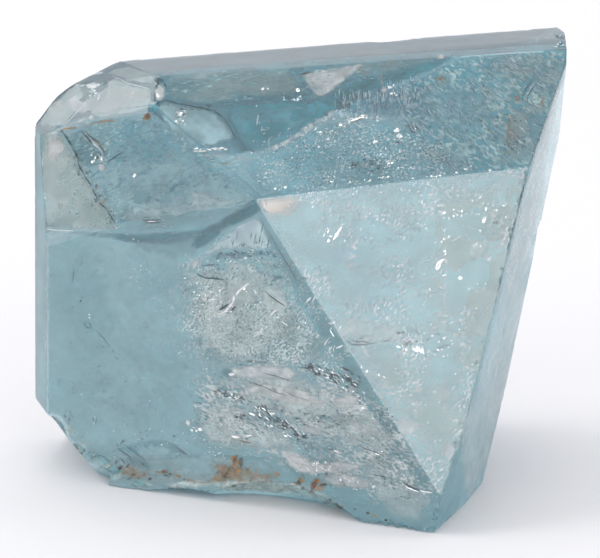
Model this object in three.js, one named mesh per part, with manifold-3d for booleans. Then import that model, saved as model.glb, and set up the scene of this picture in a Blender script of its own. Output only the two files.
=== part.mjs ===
// Rough topaz crystal: one solid piece of clear, pale blue topaz, 56 mm wide.
// A blocky crystal made of flat natural faces that meet in sharp edges, with
// a broken base it rests on, a shelly scoop out of the front of that base,
// and small conchoidal chips on its corners and edges.
//
// Frame: millimetres, +Z up, origin on the resting plane under the middle of
// the crystal's box. +X is to the right of someone facing the pointed apex,
// and +Y is away from them.

import * as THREE from "three";
import { ConvexGeometry } from "three/addons/geometries/ConvexGeometry.js";
import { mergeVertices } from "three/addons/utils/BufferGeometryUtils.js";
import Module from "manifold-3d";

// ---------------------------------------------------------------- dimensions

// The crystal's faces are given from a point inside it, 20 mm above the
// resting plane: the compass bearing of the face's outward normal (degrees
// from +X towards +Y), its climb above the horizontal (degrees), and how far
// out the face lies (mm).
const HEART = new THREE.Vector3(0, 0, 20);

const FACES = {
  top: [-117.53, 85.51, 22.89],
  top_bevel: [-99.11, 82.00, 22.52],
  upper_front: [-84.24, 45.48, 15.41],
  right_front: [-81.40, 20.13, 13.07],
  left_front: [-112.73, 0.00, 11.22],
  upper_left: [-115.59, 10.61, 13.21],
  far_left: [-116.73, 9.64, 13.39],
  left_side: [-159.51, 1.24, 24.68],
  right_side: [-18.66, -7.48, 21.41],
  right_foot: [-23.04, -11.09, 22.58],
  corner_a: [-124.19, 42.71, 21.46],
  corner_b: [-127.83, 40.06, 21.97],
  corner_c: [-128.02, 42.89, 22.32],
  corner_d: [-142.73, 68.04, 25.17],
  back_upper: [100.71, 19.98, 16.66],
  back_fan: [93.31, 8.05, 15.74],
  back: [98.00, 0.00, 15.57],
  back_left: [163.01, 1.51, 27.16],
  back_corner_high: [136.32, 41.53, 28.22],
  back_corner_low: [147.74, 23.96, 28.86],
  back_right_top: [-3.08, -3.04, 25.78],
  back_right: [19.55, -15.50, 22.55],
  back_right_low: [17.19, -20.63, 23.17],
  left_foot: [-162.46, -36.90, 28.08],
  right_corner: [8.53, 36.10, 38.15],
  base: [0.00, -90.00, 20.00],
};

// Shelly breaks: centre (mm), half-sizes (mm), turn about Z (degrees), how
// uneven the bowl is (share of its size), and a number that varies the bumps.
const FRONT_TURN = -22.7; // the left front face runs this way, seen from above
const BREAKS = [
  // the scoop under the front of the base
  { at: [-2.6, -12.21, -1.7], size: [10.3, 5.6, 4.35], turn: FRONT_TURN, uneven: 0.05, seed: 1 },
  { at: [-11.4, -7.76, -1.1], size: [5.2, 3.0, 2.25], turn: FRONT_TURN, uneven: 0.07, seed: 14 },
  { at: [8.6, -17.76, -2.0], size: [6.0, 3.5, 2.45], turn: FRONT_TURN, uneven: 0.06, seed: 2 },
  // steps up the broken lower left corner
  { at: [-26.0, -1.41, 5.0], size: [1.9, 3.6, 1.7], turn: -10, uneven: 0.07, seed: 3 },
  { at: [-21.6, -3.61, 0.7], size: [2.0, 3.0, 1.5], turn: -20, uneven: 0.07, seed: 4 },
  // flakes off the edge at the top of the upper left face
  { at: [-14.9, -3.51, 41.9], size: [1.0, 1.3, 1.9], turn: 10, uneven: 0.08, seed: 5 },
  // bruised right end of the top edge
  { at: [28.0, 6.39, 45.2], size: [1.3, 2.0, 1.1], turn: 10, uneven: 0.1, seed: 6 },
  { at: [28.4, 4.19, 43.0], size: [0.9, 1.5, 1.3], turn: 0, uneven: 0.1, seed: 7 },
  // long shallow flake out of the right-hand edge
  { at: [26.0, 3.59, 21.5], size: [1.9, 3.6, 5.6], turn: 12, uneven: 0.06, seed: 8 },
  // broken back of the base, and two chips above
  { at: [-13.0, 14.64, -0.4], size: [4.6, 2.6, 2.1], turn: 8, uneven: 0.07, seed: 9 },
  { at: [5.5, 17.94, -0.8], size: [5.6, 2.3, 2.4], turn: 8, uneven: 0.07, seed: 12 },
  { at: [9.5, 11.89, 44.0], size: [2.9, 1.9, 1.5], turn: 10, uneven: 0.08, seed: 10 },
  { at: [-21.0, 8.39, 39.2], size: [1.9, 1.8, 1.6], turn: 30, uneven: 0.08, seed: 11 },
];
const BOWL_DETAIL = 4; // how finely each break is faceted

const COLOUR = 0x9cc3cd;
const ROUGHNESS = 0.08;

// ------------------------------------------------------------------ geometry

const rad = THREE.MathUtils.degToRad;

function facePlane([bearing, climb, out]) {
  const n = new THREE.Vector3(
    Math.cos(rad(climb)) * Math.cos(rad(bearing)),
    Math.cos(rad(climb)) * Math.sin(rad(bearing)),
    Math.sin(rad(climb)),
  );
  return { n, d: n.dot(HEART) + out };
}

// The corners of the space inside every face: the points where three faces
// meet and that lie outside none of the others.
function corners(planes) {
  const points = [];
  const cross = new THREE.Vector3();
  for (let i = 0; i < planes.length; i++)
    for (let j = i + 1; j < planes.length; j++)
      for (let k = j + 1; k < planes.length; k++) {
        const [a, b, c] = [planes[i], planes[j], planes[k]];
        const det = a.n.dot(cross.crossVectors(b.n, c.n));
        if (Math.abs(det) < 1e-6) continue;
        const p = new THREE.Vector3()
          .addScaledVector(new THREE.Vector3().crossVectors(b.n, c.n), a.d)
          .addScaledVector(new THREE.Vector3().crossVectors(c.n, a.n), b.d)
          .addScaledVector(new THREE.Vector3().crossVectors(a.n, b.n), c.d)
          .divideScalar(det);
        if (planes.some((q) => q.n.dot(p) > q.d + 1e-5)) continue;
        if (points.some((q) => q.distanceTo(p) < 1e-3)) continue;
        points.push(p);
      }
  return points;
}

// A rounded, slightly lumpy bowl shape for one break.
function bowl({ at, size, turn, uneven, seed }) {
  const g = new THREE.IcosahedronGeometry(1, BOWL_DETAIL);
  const p = g.attributes.position;
  const v = new THREE.Vector3();
  for (let i = 0; i < p.count; i++) {
    v.fromBufferAttribute(p, i);
    const lump =
      Math.sin(3.1 * v.x + 1.7 * seed) * Math.cos(2.7 * v.y - 0.9 * seed) +
      0.6 * Math.sin(5.3 * v.z + 2.3 * seed + 2.0 * v.x);
    v.multiplyScalar(1 + uneven * lump);
    p.setXYZ(i, v.x, v.y, v.z);
  }
  g.scale(...size);
  g.rotateZ(rad(turn));
  g.translate(...at);
  return g;
}

// ------------------------------------------------------------------- solids

const wasm = await Module();
wasm.setup();

function toSolid(geometry) {
  geometry.deleteAttribute("normal");
  geometry.deleteAttribute("uv");
  const g = mergeVertices(geometry, 1e-5);
  return new wasm.Manifold(
    new wasm.Mesh({
      numProp: 3,
      vertProperties: new Float32Array(g.attributes.position.array),
      triVerts: new Uint32Array(g.index.array),
    }),
  );
}

function toGeometry(solid) {
  const m = solid.getMesh();
  const g = new THREE.BufferGeometry();
  g.setAttribute("position", new THREE.BufferAttribute(new Float32Array(m.vertProperties), 3));
  g.setIndex(new THREE.BufferAttribute(new Uint32Array(m.triVerts), 1));
  g.computeVertexNormals();
  return g;
}

let crystal = toSolid(new ConvexGeometry(corners(Object.values(FACES).map(facePlane))));
for (const b of BREAKS) crystal = crystal.subtract(toSolid(bowl(b)));

// -------------------------------------------------------------------- scene

const topaz = new THREE.Mesh(
  toGeometry(crystal),
  new THREE.MeshStandardMaterial({ color: COLOUR, roughness: ROUGHNESS, metalness: 0 }),
);
topaz.name = "crystal";

const part = new THREE.Group();
part.add(topaz);

export default part;
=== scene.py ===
import math

import bmesh
import bpy
import numpy as np
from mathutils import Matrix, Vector
from mathutils.bvhtree import BVHTree
from mathutils.geometry import delaunay_2d_cdt


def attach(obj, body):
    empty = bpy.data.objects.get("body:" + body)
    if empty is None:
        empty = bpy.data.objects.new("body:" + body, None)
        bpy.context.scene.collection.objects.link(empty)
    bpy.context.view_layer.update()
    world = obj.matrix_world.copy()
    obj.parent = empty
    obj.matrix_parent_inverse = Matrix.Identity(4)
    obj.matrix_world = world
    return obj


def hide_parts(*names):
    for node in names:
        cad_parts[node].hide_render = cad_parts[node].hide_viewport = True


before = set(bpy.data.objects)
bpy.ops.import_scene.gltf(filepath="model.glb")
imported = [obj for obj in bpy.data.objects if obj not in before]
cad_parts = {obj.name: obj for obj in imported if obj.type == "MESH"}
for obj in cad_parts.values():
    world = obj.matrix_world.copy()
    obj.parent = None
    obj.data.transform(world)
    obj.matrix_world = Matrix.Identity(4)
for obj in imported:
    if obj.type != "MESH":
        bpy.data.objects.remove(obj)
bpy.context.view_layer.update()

MM = 0.001

# --------------------------------------------------------------------- frame
# The natural faces of the crystal, as in the CAD part: bearing and climb of
# the outward normal (degrees), and distance (mm) from a point 20 mm up.

HEART = np.array([0.0, 0.0, 20.0])
FACES = {
    "top": (-117.53, 85.51, 22.89),
    "top_bevel": (-99.11, 82.00, 22.52),
    "upper_front": (-84.24, 45.48, 15.41),
    "right_front": (-81.40, 20.13, 13.07),
    "left_front": (-112.73, 0.00, 11.22),
    "upper_left": (-115.59, 10.61, 13.21),
    "far_left": (-116.73, 9.64, 13.39),
    "left_side": (-159.51, 1.24, 24.68),
    "right_side": (-18.66, -7.48, 21.41),
    "right_foot": (-23.04, -11.09, 22.58),
    "corner_a": (-124.19, 42.71, 21.46),
    "corner_b": (-127.83, 40.06, 21.97),
    "corner_c": (-128.02, 42.89, 22.32),
    "corner_d": (-142.73, 68.04, 25.17),
    "back_upper": (100.71, 19.98, 16.66),
    "back_fan": (93.31, 8.05, 15.74),
    "back": (98.00, 0.00, 15.57),
    "back_left": (163.01, 1.51, 27.16),
    "back_corner_high": (136.32, 41.53, 28.22),
    "back_corner_low": (147.74, 23.96, 28.86),
    "back_right_top": (-3.08, -3.04, 25.78),
    "back_right": (19.55, -15.50, 22.55),
    "back_right_low": (17.19, -20.63, 23.17),
    "left_foot": (-162.46, -36.90, 28.08),
    "right_corner": (8.53, 36.10, 38.15),
    "base": (0.00, -90.00, 20.00),
}


def normal(bearing, climb):
    a, e = math.radians(bearing), math.radians(climb)
    return np.array([math.cos(e) * math.cos(a), math.cos(e) * math.sin(a), math.sin(e)])


PLANE = {}
for _k, (_a, _e, _d) in FACES.items():
    _n = normal(_a, _e)
    PLANE[_k] = (_n, float(_n @ HEART + _d))


def polyhedron(planes):
    """Corner points, and each face's corners in order, of the space inside all the planes."""
    names = list(planes)
    N = np.array([planes[k][0] for k in names])
    D = np.array([planes[k][1] for k in names])
    pts = []
    for i in range(len(names)):
        for j in range(i + 1, len(names)):
            for k in range(j + 1, len(names)):
                A = N[[i, j, k]]
                det = np.linalg.det(A)
                if abs(det) < 1e-6:
                    continue
                p = np.linalg.solve(A, D[[i, j, k]])
                if (N @ p - D).max() > 1e-5:
                    continue
                if any(np.linalg.norm(p - q) < 1e-3 for q in pts):
                    continue
                pts.append(p)
    pts = np.array(pts)
    loops = {}
    for m, k in enumerate(names):
        on = np.where(np.abs(pts @ N[m] - D[m]) < 1e-5)[0]
        if len(on) < 3:
            continue
        c = pts[on].mean(0)
        a, b = axes_of(N[m])
        q = pts[on] - c
        loops[k] = on[np.argsort(np.arctan2(q @ b, q @ a))]
    return pts, loops


def axes_of(n):
    a = np.cross([0.0, 0.0, 1.0], n)
    if np.linalg.norm(a) < 1e-3:
        a = np.array([1.0, 0.0, 0.0])
    a = a / np.linalg.norm(a)
    return a, np.cross(n, a)


# --------------------------------------------------------------------- noise

def _hash(i, j, k, seed):
    h = (i * 374761393 + j * 668265263 + k * 2147483647 + seed * 1274126177) & 0xFFFFFFFF
    h = ((h ^ (h >> 13)) * 1274126177) & 0xFFFFFFFF
    return ((h ^ (h >> 16)) & 0xFFFFFF) / float(0xFFFFFF)


def vnoise(p, seed=0):
    """Smooth value noise, -1 to 1, for points (n, 3)."""
    p = np.asarray(p, float)
    f = np.floor(p)
    t = p - f
    t = t * t * t * (t * (t * 6 - 15) + 10)
    i = f.astype(np.int64)
    out = 0
    for dx in (0, 1):
        for dy in (0, 1):
            for dz in (0, 1):
                w = (t[:, 0] if dx else 1 - t[:, 0]) * (t[:, 1] if dy else 1 - t[:, 1]) * (t[:, 2] if dz else 1 - t[:, 2])
                out = out + w * _hash(i[:, 0] + dx, i[:, 1] + dy, i[:, 2] + dz, seed)
    return out * 2 - 1


def fbm(p, octaves=4, seed=0, gain=0.5):
    p = np.asarray(p, float)
    a, s, out = 1.0, 1.0, 0.0
    for o in range(octaves):
        out = out + a * vnoise(p * s + 17.3 * o, seed + o)
        a *= gain
        s *= 2.03
    return out


# ------------------------------------------------------------ crystal's mesh

def smooth(x, lo, hi):
    t = np.clip((np.asarray(x, float) - lo) / (hi - lo), 0, 1)
    return t * t * (3 - 2 * t)


def to_object(name, verts, faces, material=None):
    me = bpy.data.meshes.new(name)
    me.from_pydata([tuple(v) for v in verts], [], [tuple(f) for f in faces])
    me.validate()
    ob = bpy.data.objects.new(name, me)
    bpy.context.scene.collection.objects.link(ob)
    if material:
        me.materials.append(material)
    return ob


FINE = {"upper_front": 0.26, "right_front": 0.32, "left_front": 0.32, "upper_left": 0.32, "far_left": 0.35,
        "right_side": 0.35, "right_foot": 0.35, "top_bevel": 0.35, "corner_a": 0.3, "corner_b": 0.3,
        "corner_c": 0.3, "corner_d": 0.3, "left_side": 0.4, "left_foot": 0.4, "top": 0.5, "right_corner": 0.35,
        "base": 0.5, "back_upper": 0.4}


def fine_polyhedron(planes, relief, wear):
    """A closed mesh of the polyhedron, with points every FINE[face] mm. relief(face, points, inset) gives each
    inner point's height over its face in mm, inset being its distance from the face's edge. wear(points) gives
    how far in mm an edge is worn back."""
    pts, loops = polyhedron(planes)
    meets = {}
    for name, loop in loops.items():
        for s in range(len(loop)):
            i, j = int(loop[s]), int(loop[(s + 1) % len(loop)])
            meets.setdefault((min(i, j), max(i, j)), []).append(name)
    worn = []
    for i, p in enumerate(pts):
        inward = -sum(planes[k][0] for k in loops if i in loops[k])
        worn.append(p + inward / np.linalg.norm(inward) * 0.07)
    verts = list(worn)
    flat = list(pts)
    edge_pts = {}

    def along(i, j):
        key = (min(i, j), max(i, j))
        if key not in edge_pts:
            a, b = pts[key[0]], pts[key[1]]
            step = min(FINE.get(k, 0.6) for k in meets[key])
            n = max(1, int(round(np.linalg.norm(b - a) / step)))
            inward = -sum(planes[k][0] for k in meets[key])
            sharp = np.linalg.norm(inward)
            inward = inward / sharp
            ids = []
            if n > 1:
                line = np.array([a + (b - a) * s / n for s in range(1, n)])
                back = wear(line) * np.clip((2.0 - sharp) * 2.5, 0.15, 1)
                for q, w in zip(line, back):
                    ids.append(len(verts))
                    verts.append(q + inward * w)
                    flat.append(q)
            edge_pts[key] = ids
        ids = edge_pts[key]
        return ids if i < j else ids[::-1]

    tris = []
    for name, loop in loops.items():
        n, d = planes[name]
        spacing = FINE.get(name, 0.6)
        a, b = axes_of(n)
        ring = []
        for s in range(len(loop)):
            i, j = int(loop[s]), int(loop[(s + 1) % len(loop)])
            ring.append(i)
            ring.extend(along(i, j))
        P = np.array([flat[i] for i in ring])
        o = P.mean(0)
        q = np.stack([(P - o) @ a, (P - o) @ b], 1)
        area = 0.5 * np.sum(q[:, 0] * np.roll(q[:, 1], -1) - q[:, 1] * np.roll(q[:, 0], -1))
        if area < 0:
            ring, q, P = ring[::-1], q[::-1], P[::-1]
        lo, hi = q.min(0), q.max(0)
        xs = np.arange(lo[0], hi[0], spacing)
        ys = np.arange(lo[1], hi[1], spacing * 0.866)
        gx, gy = np.meshgrid(xs, ys)
        gx = gx + (np.arange(len(ys)) % 2)[:, None] * spacing * 0.5
        g = np.stack([gx.ravel(), gy.ravel()], 1)
        g = g + 0.18 * spacing * np.stack([vnoise(np.c_[g * 3.1, g[:, :1] * 0], 5), vnoise(np.c_[g * 3.1, g[:, :1] * 0], 6)], 1)
        corner = np.array([(pts[i] - o) @ np.stack([a, b], 1) for i in loop])
        ca = 0.5 * np.sum(corner[:, 0] * np.roll(corner[:, 1], -1) - corner[:, 1] * np.roll(corner[:, 0], -1))
        if ca < 0:
            corner = corner[::-1]
        e = np.roll(corner, -1, 0) - corner
        e = e / np.linalg.norm(e, axis=1)[:, None]
        nin = np.stack([-e[:, 1], e[:, 0]], 1)
        inset = ((g[:, None, :] - corner[None]) * nin[None]).sum(2).min(1)
        keep = inset > spacing * 0.6
        g, inset = g[keep], inset[keep]
        first = len(verts)
        G = o + g[:, :1] * a + g[:, 1:] * b
        lifted = G
        if len(G):
            lifted = G + n * relief(name, G, inset)[:, None]
        verts.extend(lifted)
        flat.extend(G)
        ids = list(ring) + list(range(first, first + len(g)))
        co = [Vector(v) for v in np.vstack([q, g])]
        m = len(ring)
        out = delaunay_2d_cdt(co, [(s, (s + 1) % m) for s in range(m)], [], 1, 1e-7)
        vo, fo, vi = out[0], out[2], out[3]
        back = [ids[v[0]] for v in vi]
        for f in fo:
            t = [back[x] for x in f]
            if len(set(t)) == 3:
                A, B, C = vo[f[0]], vo[f[1]], vo[f[2]]
                cr = (B - A).x * (C - A).y - (B - A).y * (C - A).x
                tris.append(t if cr > 0 else t[::-1])
    return np.array(verts), tris


# How each face grew and weathered: height (mm) of the slow swell, of the medium undulation, of the fine
# grain, and the direction (degrees in the face) and height of the growth ridges.
SKIN = {
    "top": (0.05, 0.010, 0.002, 0, 0.0),
    "top_bevel": (0.03, 0.008, 0.002, 0, 0.0),
    "upper_front": (0.05, 0.018, 0.004, 0, 0.0),
    "right_front": (0.05, 0.012, 0.003, 0, 0.0),
    "left_front": (0.05, 0.008, 0.002, 0, 0.0),
    "upper_left": (0.05, 0.012, 0.003, 0, 0.0),
    "far_left": (0.04, 0.012, 0.003, 0, 0.0),
    "left_side": (0.05, 0.020, 0.005, 0, 0.010),
    "left_foot": (0.08, 0.050, 0.012, 0, 0.0),
    "right_side": (0.06, 0.030, 0.008, 8, 0.030),
    "right_foot": (0.06, 0.040, 0.010, 8, 0.030),
    "corner_a": (0.03, 0.015, 0.004, 0, 0.0),
    "corner_b": (0.03, 0.015, 0.004, 0, 0.0),
    "corner_c": (0.03, 0.015, 0.004, 0, 0.0),
    "corner_d": (0.03, 0.015, 0.004, 0, 0.0),
    "right_corner": (0.05, 0.060, 0.015, 0, 0.0),
    "base": (0.10, 0.080, 0.020, 0, 0.0),
    "back_upper": (0.08, 0.012, 0.003, 55, 0.012),
    "back": (0.08, 0.014, 0.004, 80, 0.014),
}
BACK_SKIN = (0.08, 0.020, 0.006, 20, 0.012)


def relief(name, P, inset):
    n = PLANE[name][0]
    a, b = axes_of(n)
    u, v = P @ a, P @ b
    seed = sum(map(ord, name))
    swell, wave, grain, way, ridge = SKIN.get(name, BACK_SKIN)
    h = swell * vnoise(P / 7.0, seed) + wave * fbm(P / 1.7, 2, seed + 3) + grain * vnoise(P / 0.45, seed + 7)
    if ridge:
        t = math.radians(way)
        s = u * math.sin(t) - v * math.cos(t) + 0.5 * vnoise(P / 3.0, seed + 9)
        run = u * math.cos(t) + v * math.sin(t)
        q = np.stack([s / 0.8, run / 9.0, np.zeros(len(P))], 1)
        h = h + ridge * fbm(q, 2, seed + 11)
    if name == "upper_front":
        # feather-like ripples that fan out over the right of the face, and upright combs left of them
        s = (u - 12.0) * math.sin(math.radians(62)) + v * math.cos(math.radians(62))
        run = (u - 12.0) * math.cos(math.radians(62)) - v * math.sin(math.radians(62))
        q = np.stack([s / 0.75 + 0.6 * vnoise(P / 2.0, 77), run / 2.6, np.zeros(len(P))], 1)
        fan = smooth(P[:, 0], 7.0, 14.0)
        h = h + 0.050 * fan * fbm(q, 2, 51)
        q = np.stack([P[:, 0] / 0.55, v / 6.0, np.zeros(len(P))], 1)
        h = h + 0.022 * smooth(P[:, 0], 2.0, 5.0) * (1 - smooth(P[:, 0], 11.0, 15.0)) * vnoise(q, 61)
    if name in ("right_side", "right_foot"):
        h = h + 0.10 * (1 - smooth(P[:, 2], 20.0, 27.0)) * fbm(P / 1.3, 3, 91)
    if name in ("left_front", "right_front", "left_foot", "left_side"):
        h = h + 0.07 * (1 - smooth(P[:, 2], 1.5, 5.0)) * fbm(P / 1.2, 3, 93)
    # the edge is worn round
    round_off = 0.16
    h = h * smooth(inset, 0.0, 0.9) - 0.05 * (1 - smooth(inset, 0.0, round_off * 2.2))
    if name == "base":
        h = -np.abs(h) - 0.01
    else:
        h = np.minimum(h, 0.04)
    return h


def wear(P):
    """Edges are blunt by some hundredths of a millimetre, with nicks here and there."""
    w = 0.05 + 0.03 * vnoise(P / 1.1, 21)
    nick = vnoise(P / 0.7, 22) + 0.5 * vnoise(P / 0.33, 23)
    w = w + 0.22 * smooth(nick, 0.55, 1.1)
    low = 1 - smooth(P[:, 2], 1.0, 6.0)
    w = w + 0.12 * low * np.abs(fbm(P / 0.8, 2, 24))
    return w


# ------------------------------------------------------------------- breaks
# Shelly breaks, as in the CAD part: centre, half-sizes (mm), turn about Z
# (degrees), unevenness, seed. The small ones after them are too fine for it.

FRONT_TURN = -22.7
BREAKS = [
    ((-2.6, -12.21, -1.7), (10.3, 5.6, 4.35), FRONT_TURN, 0.05, 1),
    ((-11.4, -7.76, -1.1), (5.2, 3.0, 2.25), FRONT_TURN, 0.07, 14),
    ((8.6, -17.76, -2.0), (6.0, 3.5, 2.45), FRONT_TURN, 0.06, 2),
    ((-26.0, -1.41, 5.0), (1.9, 3.6, 1.7), -10, 0.07, 3),
    ((-21.6, -3.61, 0.7), (2.0, 3.0, 1.5), -20, 0.07, 4),
    ((-14.9, -3.51, 41.9), (1.0, 1.3, 1.9), 10, 0.08, 5),
    ((28.0, 6.39, 45.2), (1.3, 2.0, 1.1), 10, 0.1, 6),
    ((28.4, 4.19, 43.0), (0.9, 1.5, 1.3), 0, 0.1, 7),
    ((26.0, 3.59, 21.5), (1.9, 3.6, 5.6), 12, 0.06, 8),
    ((-13.0, 14.64, -0.4), (4.6, 2.6, 2.1), 8, 0.07, 9),
    ((5.5, 17.94, -0.8), (5.6, 2.3, 2.4), 8, 0.07, 12),
    ((9.5, 11.89, 44.0), (2.9, 1.9, 1.5), 10, 0.08, 10),
    ((-21.0, 8.39, 39.2), (1.9, 1.8, 1.6), 30, 0.08, 11),
]


def ico(detail):
    bm = bmesh.new()
    bmesh.ops.create_icosphere(bm, subdivisions=detail, radius=1.0)
    v = np.array([x.co for x in bm.verts])
    f = [[x.index for x in p.verts] for p in bm.faces]
    bm.free()
    return v, f


ICO = {d: ico(d) for d in (2, 3, 4, 5, 6)}


def bowl(at, size, turn, uneven, seed, detail, ripple=0.0):
    """A lumpy ellipsoid to cut with. ripple adds shell-like rings round a point of impact."""
    v, f = ICO[detail]
    r = 1 + uneven * (
        np.sin(3.1 * v[:, 0] + 1.7 * seed) * np.cos(2.7 * v[:, 1] - 0.9 * seed)
        + 0.6 * np.sin(5.3 * v[:, 2] + 2.3 * seed + 2.0 * v[:, 0])
    )
    size = np.array(size, float)
    if ripple:
        rng = np.random.default_rng(seed)
        hit = rng.normal(size=3)
        hit[2] = -abs(hit[2]) * 0.3
        hit = hit / np.linalg.norm(hit)
        reach = np.linalg.norm((v - hit) * size, axis=1)
        rings = np.sin(2 * math.pi * (reach / 0.9 + 0.5 * vnoise(v * 2, seed)))
        grit = fbm(v * size / 0.55, 3, seed + 40)
        r = r + (ripple * rings * np.clip(reach / size.max(), 0.1, 1) + 0.6 * ripple * grit) / size.mean()
    p = v * r[:, None] * size
    a = math.radians(turn)
    R = np.array([[math.cos(a), -math.sin(a), 0], [math.sin(a), math.cos(a), 0], [0, 0, 1]])
    return p @ R.T + np.array(at), f


def cut_all(body, cutters):
    """Subtracts the closed cutters from body, which stays one closed mesh. Cutters clear of each other go together."""
    batches = []
    for v, f in cutters:
        lo, hi = v.min(0) - 0.02, v.max(0) + 0.02
        for batch in batches:
            if all((hi < l).any() or (lo > g).any() for _, _, l, g in batch):
                batch.append((v, f, lo, hi))
                break
        else:
            batches.append([(v, f, lo, hi)])
    for batch in batches:
        vs, fs, n = [], [], 0
        for v, f, _, _ in batch:
            vs.append(v)
            fs.extend([[i + n for i in t] for t in f])
            n += len(v)
        c = to_object("cut", np.vstack(vs) * MM, fs)
        m = body.modifiers.new("cut", "BOOLEAN")
        m.operation = "DIFFERENCE"
        m.solver = "MANIFOLD"
        m.object = c
        dg = bpy.context.evaluated_depsgraph_get()
        new = bpy.data.meshes.new_from_object(body.evaluated_get(dg))
        body.modifiers.clear()
        old = body.data
        body.data = new
        bpy.data.meshes.remove(old)
        bpy.data.objects.remove(c)


# What is sealed in the crystal, some of it painted shade and painted light, what clings to it, and painted shadow under
# its front lip: places in mm, in this same frame.
# SHEETS: kind, strength, soft edge, seed, outline. CLOUDS: kind, strength, centre, half-sizes, turn, lean, seed.
# THREADS: kind, width, seed, path. FLAKES: kind, count, centre, turn of the field, its half-sizes, length and
# width of a flake, its turn, scatter of turns, depth of the field, seed.

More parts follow.
